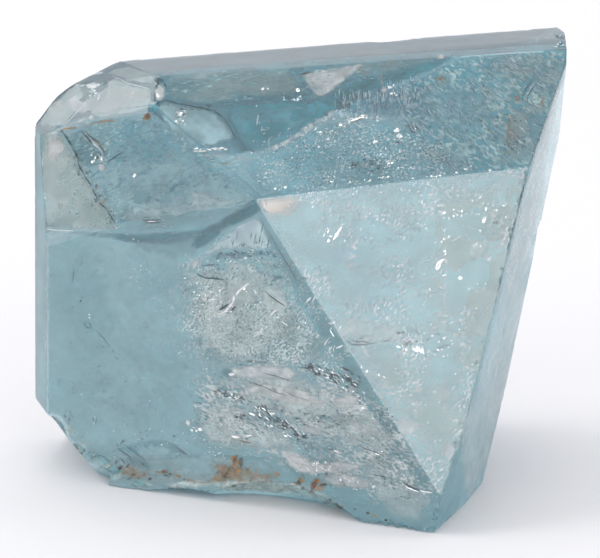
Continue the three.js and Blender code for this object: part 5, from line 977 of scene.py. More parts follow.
    ("glint", 26, (10.9, -7.96, 31.28), 0, (9.85, 1.18), (0.19, 0.13), 50, 20, 0.6, 190),
    ("glint", 20, (18.88, -6.68, 31.49), 0, (2.96, 1.58), (0.19, 0.13), 50, 25, 0.6, 191),
    ("bright", 150, (7.92, -10.4, 25.81), 0, (8.47, 5.52), (0.18, 0.11), 50, 16, 0.6, 192),
    ("bright", 60, (9.9, -9.2, 28.34), 0, (4.92, 1.18), (0.3, 0.11), 50, 12, 0.6, 193),
    ("deepf", 40, (9.4, -9.46, 27.8), 0, (4.92, 1.58), (0.39, 0.1), 50, 10, 0.6, 194),
    ("glint", 6, (3.01, -10.17, 28.59), 0, (1.18, 0.49), (0.32, 0.15), 55, 10, 0.6, 195),
    ("glint", 2, (2.91, -10.53, 27.66), 0, (0.2, 0.14), (0.35, 0.2), 50, 25, 0.6, 196),
    ("glint", 1, (4.57, -11.38, 24.75), 0, (0.04, 0.04), (0.26, 0.22), 20, 25, 0.6, 197),
    ("glint", 1, (7.22, -11.35, 23.73), 0, (0.05, 0.05), (0.35, 0.16), 45, 25, 0.6, 198),
    ("glint", 1, (8.5, -11.69, 22.3), 0, (0.05, 0.05), (0.3, 0.16), 60, 25, 0.6, 199),
    ("glint", 22, (11.86, -10.91, 22.9), 0, (5.91, 5.91), (0.16, 0.12), 45, 25, 0.6, 200),
    ("bright", 110, (15.3, -11.79, 19.06), 0, (3.55, 6.5), (0.2, 0.12), 60, 25, 0.6, 201),
    ("bright", 70, (12.3, -14.76, 12.28), 0, (2.76, 5.12), (0.2, 0.13), 60, 25, 0.6, 202),
    ("glint", 14, (15.79, -12.42, 17.2), 0, (2.56, 5.52), (0.18, 0.13), 45, 25, 0.6, 203),
    ("dark", 30, (14.82, -10.84, 21.86), 0, (4.33, 7.88), (0.14, 0.11), 45, 25, 0.6, 204),
    ("pale", 60, (11.84, -11.92, 20.12), 0, (5.91, 4.92), (0.26, 0.12), 50, 25, 0.6, 205),
    ("deepf", 14, (5.54, -13.5, 18.54), 0, (0.99, 0.25), (0.3, 0.14), 10, 25, 0.6, 206),
    ("deepf", 40, (12.23, -12.58, 18.27), -10, (2.56, 0.89), (0.49, 0.17), -20, 26, 0.6, 207),
    ("dark", 12, (10.26, -12.63, 19.0), 0, (0.59, 0.2), (0.45, 0.2), -8, 25, 0.1, 208),
    ("dark", 18, (12.62, -12.68, 17.89), 0, (2.17, 0.59), (0.35, 0.15), -20, 30, 0.6, 209),
    ("glint", 7, (11.73, -13.02, 17.38), 0, (0.49, 0.39), (0.41, 0.22), -45, 14, 0.1, 210),
    ("glint", 7, (11.83, -13.01, 17.37), 0, (0.32, 0.33), (0.28, 0.15), -45, 50, 0.6, 211),
    ("glint", 12, (10.06, -13.1, 17.81), 0, (0.69, 0.49), (0.28, 0.17), -50, 30, 0.6, 212),
    ("glint", 10, (12.82, -12.69, 17.79), 0, (1.58, 0.59), (0.24, 0.15), -20, 40, 0.6, 213),
    ("bright", 60, (12.23, -12.79, 17.72), 0, (2.96, 1.28), (0.26, 0.15), 20, 40, 0.6, 214),
    ("glint", 10, (6.71, -14.37, 15.74), -42, (0.89, 0.39), (0.28, 0.14), -42, 14, 0.6, 215),
    ("glint", 6, (8.28, -14.43, 14.94), -42, (0.69, 0.2), (0.26, 0.14), -42, 14, 0.6, 216),
    ("pale", 14, (9.85, -14.0, 15.42), -18, (1.38, 0.3), (0.49, 0.12), -18, 10, 0.6, 217),
    ("dark", 16, (22.21, -5.88, 31.35), -14, (0.3, 2.56), (0.16, 0.11), -70, 25, 0.05, 218),
    ("rust", 8, (22.29, -6.02, 32.06), 0, (0.49, 1.38), (0.18, 0.12), -70, 25, 0.05, 219),
    ("glint", 8, (17.77, -11.65, 13.39), -14, (0.2, 1.18), (0.24, 0.16), -70, 25, 0.05, 220),
    ("bright", 60, (20.89, -3.77, 16.78), -14, (0.79, 6.9), (0.26, 0.12), 75, 25, 0.1, 221),
    ("glint", 12, (20.31, -4.26, 13.74), -14, (0.89, 5.91), (0.18, 0.13), 60, 25, 0.1, 222),
    ("pale", 60, (20.75, -4.25, 16.91), -14, (0.89, 8.87), (0.79, 0.09), 76, 4, 0.1, 223),
    ("combd", 40, (20.22, -5.05, 15.03), -14, (0.89, 7.88), (0.69, 0.08), 76, 4, 0.1, 224),
    ("dark", 8, (20.18, -5.45, 15.68), -14, (0.59, 2.96), (0.22, 0.13), 70, 25, 0.1, 225),
    ("deepf", 12, (16.53, -11.64, 4.5), 0, (0.79, 1.38), (0.35, 0.2), 60, 25, 0.1, 226),
]

STAINS_AND_PAINTED_SHADOW = [
    ("silt", 0.95, (-4.15, -10.43, 2.33), (5.12, 0.69), -3, 1),
    ("silt", 0.8, (-5.98, -9.66, 1.84), (2.96, 0.49), -2, 2),
    ("silt", 0.6, (-22.68, -2.66, 3.82), (0.69, 0.59), 40, 3),
    ("silt", 0.6, (-21.31, -3.24, 3.04), (0.69, 0.49), 30, 4),
    ("silt", 0.6, (-19.94, -3.81, 2.25), (0.69, 0.49), 30, 5),
    ("silt", 0.55, (-18.68, -4.34, 1.24), (0.79, 0.49), 10, 6),
    ("silt", 0.55, (-16.15, -5.4, 0.75), (1.18, 0.39), 0, 7),
    ("silt", 0.5, (-23.72, -2.23, 5.53), (0.69, 0.79), 60, 8),
    ("silt", 0.7, (2.27, -13.12, 2.03), (2.56, 0.59), -26, 9),
    ("silt", 0.6, (-11.12, -7.5, 1.39), (3.35, 0.49), 4, 10),
    # The two shade patches are painted shadow: they darken the underside of the hollows under the front lip.
    ("shade", 0.45, (-5.37, -9.91, 0.87), (4.92, 0.3), -3, 11),
    ("shade", 0.3, (2.27, -13.12, 0.97), (2.17, 0.3), -22, 12),
    ("chalk", 0.75, (-5.36, -9.92, 2.36), (4.33, 0.34), -2, 13),
    ("chalk", 0.8, (-2.73, -11.02, 2.23), (2.96, 0.49), -6, 14),
    ("chalk", 0.75, (-11.54, -7.33, 1.44), (2.36, 0.34), 6, 15),
    ("chalk", 0.55, (-0.32, -12.03, 2.48), (2.36, 0.59), -14, 16),
    ("buff", 0.75, (-6.79, -9.32, 3.11), (2.66, 0.99), 4, 17),
    ("buff", 0.7, (-7.09, -9.19, 3.49), (1.58, 0.89), -10, 18),
    ("buff", 0.65, (-7.6, -8.98, 3.53), (1.38, 0.89), -20, 19),
    ("buff", 0.55, (-3.74, -10.6, 3.25), (2.17, 0.49), 6, 20),
    ("umber", 0.6, (-7.91, -8.85, 3.48), (0.22, 0.89), -50, 21),
    ("umber", 0.55, (-7.4, -9.07, 3.13), (0.2, 0.79), -38, 22),
    ("umber", 0.5, (-5.25, -9.96, 3.87), (0.2, 0.69), 40, 23),
    ("ochre", 0.85, (-6.37, -9.5, 4.35), (0.35, 0.94), -8, 24),
    ("ochre", 1.0, (-6.57, -9.41, 4.85), (0.49, 0.44), 10, 25),
    ("redbrown", 0.8, (-6.57, -9.41, 4.64), (0.16, 0.49), -10, 26),
    ("umber", 0.95, (-5.86, -9.71, 4.53), (0.26, 0.84), -10, 27),
    ("ochre", 0.8, (-6.27, -9.54, 3.4), (0.3, 0.59), -30, 28),
    ("buff", 0.7, (-5.36, -9.92, 2.79), (1.38, 0.3), 8, 29),
    ("ochre", 0.55, (-8.22, -8.72, 2.47), (0.99, 0.25), 10, 30),
    ("ochre", 0.6, (-2.22, -11.23, 3.89), (0.49, 0.25), -40, 31),
    ("ochre", 0.45, (-3.74, -10.6, 3.46), (0.79, 0.18), -6, 32),
    ("ochre", 0.45, (-2.93, -10.94, 2.94), (1.18, 0.15), 0, 33),
    ("ochre", 0.4, (-9.46, -8.2, 1.86), (0.99, 0.15), 0, 34),
    ("umber", 1.0, (-6.59, -9.4, 1.81), (0.22, 0.16), 0, 35),
    ("umber", 1.0, (-6.29, -9.53, 1.69), (0.16, 0.14), 0, 36),
    ("umber", 1.0, (-5.37, -9.92, 1.87), (0.2, 0.11), 0, 37),
    ("umber", 1.0, (-4.86, -10.13, 2.01), (0.12, 0.1), 0, 38),
    ("umber", 1.0, (-2.73, -11.02, 2.23), (0.22, 0.12), 0, 39),
    ("umber", 1.0, (-2.43, -11.15, 2.38), (0.12, 0.1), 0, 40),
    ("umber", 1.0, (-1.02, -11.74, 2.7), (0.13, 0.1), 0, 41),
    ("umber", 1.0, (-7.82, -8.89, 1.78), (0.12, 0.09), 0, 42),
    ("umber", 1.0, (-3.74, -10.6, 2.39), (0.1, 0.08), 0, 43),
    ("umber", 0.9, (-0.12, -12.11, 3.15), (0.3, 0.49), -35, 44),
    ("ochre", 0.8, (0.18, -12.24, 3.62), (0.39, 0.3), -30, 45),
    ("umber", 0.8, (0.38, -12.32, 2.8), (0.3, 0.24), 0, 46),
    ("redbrown", 1.0, (1.43, -12.76, 3.17), (0.35, 0.74), -30, 47),
    ("redbrown", 1.0, (1.28, -12.7, 2.62), (0.3, 0.33), -30, 48),
    ("ochre", 0.8, (1.77, -12.91, 3.75), (0.39, 0.3), -20, 49),
    ("redbrown", 0.8, (2.37, -13.16, 3.42), (0.39, 0.2), 0, 50),
    ("ochre", 0.6, (1.97, -12.99, 2.94), (0.49, 0.39), 20, 51),
    ("redbrown", 0.95, (3.66, -13.7, 1.56), (0.39, 0.22), -12, 52),
    ("umber", 0.8, (3.06, -13.45, 1.94), (0.24, 0.18), 0, 53),
    ("ochre", 0.6, (4.06, -13.86, 1.36), (0.39, 0.2), -10, 54),
    ("umber", 0.8, (6.81, -15.02, 1.15), (0.24, 0.14), -20, 55),
    ("ochre", 0.6, (7.59, -15.35, 0.96), (0.49, 0.16), -20, 56),
    ("umber", 0.8, (8.57, -15.76, 0.69), (0.24, 0.15), -10, 57),
    ("umber", 0.6, (5.53, -14.48, 1.37), (0.18, 0.12), 0, 58),
    ("umber", 0.9, (-18.45, -4.43, 2.15), (0.24, 0.33), -30, 59),
    ("ochre", 0.9, (-18.04, -4.61, 1.66), (0.3, 0.2), 10, 60),
    ("umber", 0.9, (-17.6, -4.79, 2.49), (0.2, 0.3), -40, 61),
    ("umber", 0.9, (-17.08, -5.01, 1.69), (0.33, 0.2), -10, 62),
    ("ochre", 0.9, (-16.46, -5.27, 1.35), (0.3, 0.18), 0, 63),
    ("umber", 0.9, (-15.82, -5.54, 1.77), (0.2, 0.26), 30, 64),
    ("umber", 0.9, (-17.52, -4.83, 1.09), (0.3, 0.14), 0, 65),
    ("umber", 0.9, (-18.87, -4.26, 2.74), (0.18, 0.26), -20, 66),
    ("umber", 0.9, (-15.3, -5.76, 1.42), (0.24, 0.14), 0, 67),
    ("ochre", 0.75, (-14.13, -6.25, 2.35), (0.89, 0.13), 0, 68),
    ("ochre", 0.7, (-12.36, -6.99, 2.18), (0.89, 0.13), -26, 69),
    ("ochre", 0.7, (-10.91, -7.59, 1.86), (0.69, 0.13), -10, 70),
    ("redbrown", 0.7, (-13.71, -6.42, 2.46), (0.49, 0.24), 0, 71),
    ("umber", 0.8, (-13.19, -6.64, 2.27), (0.2, 0.16), 0, 72),
    ("umber", 0.7, (-11.74, -7.25, 1.95), (0.2, 0.12), 0, 73),
    ("buff", 0.5, (-16.98, -5.05, 1.71), (1.97, 0.79), -10, 74),
    ("umber", 0.8, (-15.03, -3.78, 38.89), (0.3, 0.39), -20, 75),
    ("ochre", 0.7, (-15.24, -3.73, 38.68), (0.59, 0.24), 30, 76),
    ("ochre", 0.5, (-23.14, -0.3, 36.96), (0.99, 0.13), 10, 77),
    ("ochre", 0.45, (-19.57, -1.79, 37.98), (1.38, 0.11), 8, 78),
    ("umber", 0.6, (-23.99, 0.03, 36.59), (0.24, 0.2), 0, 79),
    ("umber", 0.6, (-20.44, -2.72, 31.52), (0.14, 0.49), -30, 80),
    ("ochre", 0.55, (-19.72, -3.39, 29.92), (0.16, 0.59), -30, 81),
    ("umber", 0.7, (-22.52, -1.15, 34.26), (0.15, 0.33), -30, 82),
]

# ---------------------------------------------------------------- materials

def principled(name):
    m = bpy.data.materials.new(name)
    m.use_nodes = True
    nt = m.node_tree
    b = nt.nodes["Principled BSDF"]
    return m, nt, b


def noise_node(nt, scale, detail=3.0, rough=0.55, stretch=None, turn=(0, 0, 0)):
    tc = nt.nodes.new("ShaderNodeTexCoord")
    n = nt.nodes.new("ShaderNodeTexNoise")
    n.inputs["Scale"].default_value = scale
    n.inputs["Detail"].default_value = detail
    n.inputs["Roughness"].default_value = rough
    mp = nt.nodes.new("ShaderNodeMapping")
    mp.inputs["Rotation"].default_value = turn
    if stretch:
        mp.inputs["Scale"].default_value = stretch
    nt.links.new(tc.outputs["Object"], mp.inputs["Vector"])
    nt.links.new(mp.outputs["Vector"], n.inputs["Vector"])
    return n.outputs["Fac"]


def drawn(nt, scale, degrees, stretch):
    """Noise drawn out along one direction of the upright plane that runs left to right."""
    tc = nt.nodes.new("ShaderNodeTexCoord")
    mp = nt.nodes.new("ShaderNodeMapping")
    mp.vector_type = "TEXTURE"
    mp.inputs["Rotation"].default_value = (0, math.radians(-degrees), 0)
    mp.inputs["Scale"].default_value = (stretch, 1, 1)
    n = nt.nodes.new("ShaderNodeTexNoise")
    n.inputs["Scale"].default_value = scale
    n.inputs["Detail"].default_value = 1.5
    n.inputs["Roughness"].default_value = 0.6
    nt.links.new(tc.outputs["Object"], mp.inputs["Vector"])
    nt.links.new(mp.outputs["Vector"], n.inputs["Vector"])
    return n.outputs["Fac"]


def span(nt, src, a, b, lo, hi):
    r = nt.nodes.new("ShaderNodeMapRange")
    r.inputs["From Min"].default_value = a
    r.inputs["From Max"].default_value = b
    r.inputs["To Min"].default_value = lo
    r.inputs["To Max"].default_value = hi
    nt.links.new(src, r.inputs["Value"])
    return r.outputs["Result"]


def maths(nt, op, a, b):
    m = nt.nodes.new("ShaderNodeMath")
    m.operation = op
    for i, x in enumerate((a, b)):
        if isinstance(x, (int, float)):
            m.inputs[i].default_value = x
        else:
            nt.links.new(x, m.inputs[i])
    return m.outputs[0]


def attribute(nt, name):
    a = nt.nodes.new("ShaderNodeAttribute")
    a.attribute_name = name
    return a.outputs["Fac"]


def bumped(nt, b, heights, distance):
    """Chains bumps: (height socket, strength) pairs."""
    last = None
    for h, s in heights:
        k = nt.nodes.new("ShaderNodeBump")
        k.inputs["Distance"].default_value = distance
        k.inputs["Strength"].default_value = s
        nt.links.new(h, k.inputs["Height"])
        if last:
            nt.links.new(last, k.inputs["Normal"])
        last = k.outputs["Normal"]
    nt.links.new(last, b.inputs["Normal"])


def topaz():
    m, nt, b = principled("topaz")
    b.inputs["Base Color"].default_value = (1, 1, 1, 1)
    b.inputs["IOR"].default_value = 1.62
    b.inputs["Transmission Weight"].default_value = 0.95
    b.inputs["Specular IOR Level"].default_value = 0.34
    worn = attribute(nt, "frosted")
    blotch = noise_node(nt, 420, 3, 0.6)
    r = maths(nt, "MULTIPLY", worn, span(nt, blotch, 0.3, 0.7, 0.75, 1.2))
    r = maths(nt, "ADD", r, span(nt, blotch, 0.35, 0.75, 0.02, 0.075))
    nt.links.new(r, b.inputs["Roughness"])
    grain = maths(nt, "MULTIPLY", noise_node(nt, 2600, 3, 0.6), span(nt, worn, 0, 0.5, 0.25, 1.3))
    scratch = noise_node(nt, 900, 4, 0.65, (1.0, 1.0, 0.22), (0.5, 0.3, 0.2))
    bumped(nt, b, [(grain, 0.3), (scratch, 0.3)], 0.00002)
    vol = nt.nodes.new("ShaderNodeVolumeAbsorption")
    vol.inputs["Color"].default_value = SIGMA[0]
    vol.inputs["Density"].default_value = SIGMA[1]
    nt.links.new(vol.outputs[0], nt.nodes["Material Output"].inputs["Volume"])
    return m


SIGMA = ((0.20, 0.66, 0.74, 1), 44.0)
TOPAZ = topaz()

# --------------------------------------------------------------------- body

verts, tris = fine_polyhedron(PLANE, relief, wear)
crystal = to_object("crystal_body", verts * MM, tris, TOPAZ)

PITS = [
    ((-21.63, -3.28, 17.08), (0.50, 0.42, 0.46), -22.7, 0.10, 31),
    ((-21.30, -3.36, 16.75), (0.24, 0.25, 0.22), -22.7, 0.12, 32),
    ((-21.01, -3.52, 6.99), (0.33, 0.32, 0.30), -22.7, 0.12, 33),
    ((-18.6, -4.46, 11.6), (0.14, 0.14, 0.13), -22.7, 0.12, 34),
    ((-22.7, -2.76, 22.4), (0.13, 0.14, 0.13), -22.7, 0.12, 35),
]

# edges that are chipped: two ends (mm), how many chips, smallest and largest radius
CHIPPED = [
    ((-23.9, -0.01, 36.6), (-18.0, -4.61, 28.2), 13, 0.16, 0.42),
    ((-23.8, -0.16, 36.7), (-15.0, -3.81, 39.1), 6, 0.10, 0.25),
    ((-14.6, -3.76, 39.4), (-14.3, -0.76, 42.2), 7, 0.18, 0.42),
    ((-14.2, -0.56, 42.35), (26.8, 5.49, 44.3), 16, 0.07, 0.22),
    ((26.9, 5.74, 44.3), (27.5, 11.54, 44.75), 7, 0.25, 0.60),
    ((27.2, 5.34, 44.2), (23.1, -5.16, 34.3), 16, 0.10, 0.28),
    ((22.9, -5.46, 34.0), (13.9, -17.86, 4.2), 12, 0.08, 0.22),
    ((-4.4, -10.26, 31.9), (13.8, -17.96, 4.2), 5, 0.06, 0.14),
    ((-27.5, 1.94, 34.0), (-27.4, 2.04, 7.2), 9, 0.12, 0.35),
    ((-24.4, -2.06, 4.2), (-16.0, -5.56, 0.4), 9, 0.25, 0.70),
    ((-14.5, -6.16, 0.2), (12.6, -17.36, 0.2), 16, 0.20, 0.65),
    ((13.9, -17.66, 3.6), (12.9, -17.46, 0.3), 4, 0.20, 0.45),
    ((14.0, -17.16, 0.4), (22.0, 3.34, 0.4), 10, 0.25, 0.70),
    ((-25.5, 3.34, 40.3), (-15.6, 2.24, 43.2), 6, 0.12, 0.30),
    ((-27.4, 2.54, 36.0), (-24.2, 0.54, 37.0), 5, 0.12, 0.28),
]


def chips():
    """Small chips in loose clumps along an edge, a few large among many tiny."""
    out = []
    rng = np.random.default_rng(404)
    for p, q, count, small, large in CHIPPED:
        p, q = np.array(p), np.array(q)
        hubs = rng.uniform(0, 1, max(2, count // 4))
        for k in range(count):
            t = rng.uniform(0, 1)
            if rng.uniform() < 0.55:
                t = float(np.clip(hubs[rng.integers(len(hubs))] + rng.normal() * 0.035, 0, 1))
            r = small + (large - small) * rng.uniform() ** 3.5
            at = p + (q - p) * t + rng.normal(size=3) * 0.25 * r
            s = np.array([r * rng.uniform(0.8, 2.8), r * rng.uniform(0.7, 1.5), r * rng.uniform(0.5, 1.4)])
            out.append((tuple(at), tuple(s), rng.uniform(0, 180), 0.16, 500 + len(out)))
    return out


cutters = [bowl(*k, 5, 0.05) for k in BREAKS]
cutters += [bowl(*k, 4) for k in PITS]
cutters += [bowl(*k, 3) for k in chips()]
cut_all(crystal, cutters)


def finish_body(ob):
    """Drops dust left by the cuts, marks the sharp edges, and records how frosted each place is."""
    bm = bmesh.new()
    bm.from_mesh(ob.data)
    left = set(bm.faces)
    groups = []
    while left:
        seed = left.pop()
        stack, group = [seed], [seed]
        while stack:
            f = stack.pop()
            for e in f.edges:
                for g in e.link_faces:
                    if g in left:
                        left.discard(g)
                        group.append(g)
                        stack.append(g)
        groups.append(group)
    groups.sort(key=len)
    for g in groups[:-1]:
        bmesh.ops.delete(bm, geom=g, context="FACES")
    loose = [v for v in bm.verts if not v.link_faces]
    bmesh.ops.delete(bm, geom=loose, context="VERTS")
    bmesh.ops.triangulate(bm, faces=bm.faces[:])
    bm.to_mesh(ob.data)
    open_edges = sum(len(e.link_faces) != 2 for e in bm.edges)
    print("BODY", "pieces", len(groups), "open edges", open_edges, "triangles", len(bm.faces),
          "volume", round(bm.calc_volume() * 1e6, 2))
    bm.free()

    me = ob.data
    nf = len(me.polygons)
    pn, pc = np.empty(nf * 3), np.empty(nf * 3)
    me.polygons.foreach_get("normal", pn)
    me.polygons.foreach_get("center", pc)
    pn, pc = pn.reshape(-1, 3), pc.reshape(-1, 3) / MM
    face = np.full(nf, -1)
    best = np.full(nf, 9.0)
    names = list(PLANE)
    for m, k in enumerate(names):
        n, D = PLANE[k]
        gap, lean = np.abs(pc @ n - D), pn @ n
        cost = gap + 0.8 * (1 - lean)
        ok = (gap < 0.26) & (lean > 0.80) & (cost < best)
        face[ok], best[ok] = m, cost[ok]
    me.polygons.foreach_set("use_smooth", np.ones(nf, bool))
    sides = {}
    lv = np.empty(len(me.loops), int)
    le = np.empty(len(me.loops), int)
    me.loops.foreach_get("vertex_index", lv)
    me.loops.foreach_get("edge_index", le)
    start = np.empty(nf, int)
    me.polygons.foreach_get("loop_start", start)
    owner = np.repeat(np.arange(nf), 3)
    order = np.argsort(le, kind="stable")
    e0, f0 = le[order], owner[order]
    pair = f0.reshape(-1, 2)
    eids = e0.reshape(-1, 2)[:, 0]
    A, B = pair[:, 0], pair[:, 1]
    cosang = (pn[A] * pn[B]).sum(1)
    natural = (face[A] >= 0) & (face[B] >= 0) & (face[A] != face[B]) & (cosang < math.cos(math.radians(2.5)))
    cutline = ((face[A] < 0) != (face[B] < 0)) & (cosang < math.cos(math.radians(18)))
    broken = (face[A] < 0) & (face[B] < 0) & (cosang < math.cos(math.radians(38)))
    crisp = natural | cutline | broken
    sharp = np.zeros(len(me.edges), bool)
    sharp[eids[crisp]] = True
    at = me.attributes.new("sharp_edge", "BOOLEAN", "EDGE")
    at.data.foreach_set("value", sharp)

    rough = np.zeros(nf)
    for m, k in enumerate(names):
        on = face == m
        z = pc[on, 2]
        base = {"base": 0.50, "left_foot": 0.30, "right_foot": 0.30, "right_side": 0.24, "back": 0.24,
                "back_upper": 0.14, "right_corner": 0.25, "left_side": 0.34, "back_left": 0.2,
                "back_right": 0.2, "back_right_top": 0.15, "back_right_low": 0.3, "corner_a": 0.08,
                "corner_b": 0.08, "corner_c": 0.08, "corner_d": 0.08, "top": 0.06, "top_bevel": 0.06}.get(k, 0.0)
        if k in ("right_side", "right_foot"):
            base = base + 0.12 * (1 - smooth(z, 18, 26))
        low = 1 - smooth(z + 1.2 * fbm(pc[on] / 2.0, 2, 71), 1.0, 4.5)
        rough[on] = np.maximum(base, 0.34 * low)
    rough[face < 0] = 0.20 + 0.14 * vnoise(pc[face < 0] / 1.5, 72)
    big = (face < 0) & (pc[:, 2] < 6)
    rough[big] = rough[big] + 0.15
    per = np.zeros(len(me.vertices))
    cnt = np.zeros(len(me.vertices))
    np.add.at(per, lv, np.repeat(rough, 3))
    np.add.at(cnt, lv, 1)
    at = me.attributes.new("frosted", "FLOAT", "POINT")
    at.data.foreach_set("value", (per / np.maximum(cnt, 1)).astype(np.float32))


finish_body(crystal)
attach(crystal, "root")
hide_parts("crystal")

_bm = bmesh.new()
_bm.from_mesh(crystal.data)
SKIN_TREE = BVHTree.FromBMesh(_bm)
_bm.free()

# --------------------------------------------------------- sealed in the body

FACE_N = np.array([PLANE[k][0] for k in PLANE])
FACE_D = np.array([PLANE[k][1] for k in PLANE])


def buried(P, depth=0.12):
    """True for points (mm) at least `depth` under every face and clear of the large breaks."""
    P = np.asarray(P, float)
    ok = (FACE_D[None] - P @ FACE_N.T).min(1) > depth
    for at, size, turn, _, _ in BREAKS:
        t = math.radians(-turn)
        R = np.array([[math.cos(t), -math.sin(t), 0], [math.sin(t), math.cos(t), 0], [0, 0, 1]])
        q = (P - np.array(at)) @ R.T / (np.array(size) * 1.06 + 0.12)
        ok &= (q * q).sum(1) > 1
    return ok


RIGHT = np.array([1.0, 0.0, 0.0])
UP = np.array([0.0, 0.2588, 0.9659])
IN = np.array([0.06, 0.94, -0.33])
IN = IN / np.linalg.norm(IN)


# The flat inclusions lie so that light from the front right flashes off them. Ways in and out bend at the faces.
SEEN_FROM = np.array([0.0, -0.967, 0.256])
LIT_FROM = np.array([0.340, -0.849, 0.404])
FRONT = ["left_front", "right_front", "upper_front", "upper_left", "far_left", "right_side", "top_bevel",
         "corner_a", "corner_b", "corner_c", "left_side"]


def unit(v):
    return v / np.linalg.norm(v)


def within(d, n):
    """The way a ray runs in the crystal if it leaves along d through a face with normal n."""
    t = (unit(d) - (unit(d) @ n) * n) / 1.62
    return t + math.sqrt(1 - t @ t) * n


FLASH = {k: unit(within(SEEN_FROM, PLANE[k][0]) + within(LIT_FROM if LIT_FROM @ PLANE[k][0] > 0.1 else SEEN_FROM,
                                                           PLANE[k][0])) for k in FRONT}


def over(p):
    """Outward normal of the face p (mm) lies under, and how deep it lies."""
    gap = FACE_D - FACE_N @ np.asarray(p, float)
    k = int(np.argmin(gap))
    return FACE_N[k], float(gap[k])


def laid(d, n):
    """Slides a direction along the line of sight until it lies in the plane with normal n."""
    return d - (d @ n) / (IN @ n) * IN if abs(IN @ n) > 0.35 else d


def flash_at(p):
    """The way a flat flake at p (mm) has to face to flash."""
    return FLASH[min(FRONT, key=lambda k: PLANE[k][1] - p @ PLANE[k][0])]


class Pile:
    """Collects many small shapes into one mesh, with a haze value for each point."""

    def __init__(self):
        self.v, self.f, self.h, self.n = [], [], [], 0

    def add(self, v, f, h):
        self.v.append(np.asarray(v, float))
        self.h.append(np.asarray(h, float))
        self.f.extend([tuple(int(i) + self.n for i in t) for t in f])
        self.n += len(v)

    def build(self, name, material, smoothed=True):
        if not self.n:
            return None
        v, h = np.vstack(self.v), np.concatenate(self.h)
        me = bpy.data.meshes.new(name)
        me.from_pydata([tuple(x) for x in v * MM], [], self.f)
        at = me.attributes.new("haze", "FLOAT", "POINT")
        at.data.foreach_set("value", h.astype(np.float32))
        me.polygons.foreach_set("use_smooth", np.full(len(me.polygons), smoothed))
        me.materials.append(material)
        ob = bpy.data.objects.new(name, me)
        bpy.context.scene.collection.objects.link(ob)
        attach(ob, "root")
        return ob


veils = {}
solids = {}


def trimmed(v, f, h, depth, own=None, across=0.0):
    """Cuts a film off cleanly where it comes within `depth` of a face.
    A film lying along the face with normal `own` stays `across` away from the others and isn't carried past an edge."""
    v, h = [np.array(x) for x in v], list(h)
    for n, D in zip(FACE_N, FACE_D):
        away = depth if own is None or own @ n > 0.999 else max(depth, across)
        side = np.array(v) @ n - (D - away)
        if side.max() <= 0:
            continue
        out, cut = [], {}
        for t in f:
            ins = [side[i] <= 0 for i in t]
            if all(ins):
                out.append(t)
                continue
            if not any(ins):
                continue
            ring = []
            for k in range(len(t)):
                i, j = t[k], t[(k + 1) % len(t)]
                if ins[k]:
                    ring.append(i)
                if ins[k] != ins[(k + 1) % len(t)]:
                    key = (min(i, j), max(i, j))
                    if key not in cut:
                        x = side[i] / (side[i] - side[j])
                        v.append(v[i] + (v[j] - v[i]) * x)
                        h.append(h[i] + (h[j] - h[i]) * x)
                        cut[key] = len(v) - 1
                    ring.append(cut[key])
            if len(ring) >= 3:
                out.append(tuple(ring))
        f = out
        if not f:
            break
    return keep_buried(np.array(v), f, np.array(h), depth - 0.01)


def keep_buried(v, f, h, depth=0.12):
    if not f:
        return v, [], h
    ok = buried(v, depth)
    f = [t for t in f if ok[list(t)].all()]
    used = sorted({i for t in f for i in t})
    back = {u: k for k, u in enumerate(used)}
    return v[used], [tuple(back[i] for i in t) for t in f], h[used]


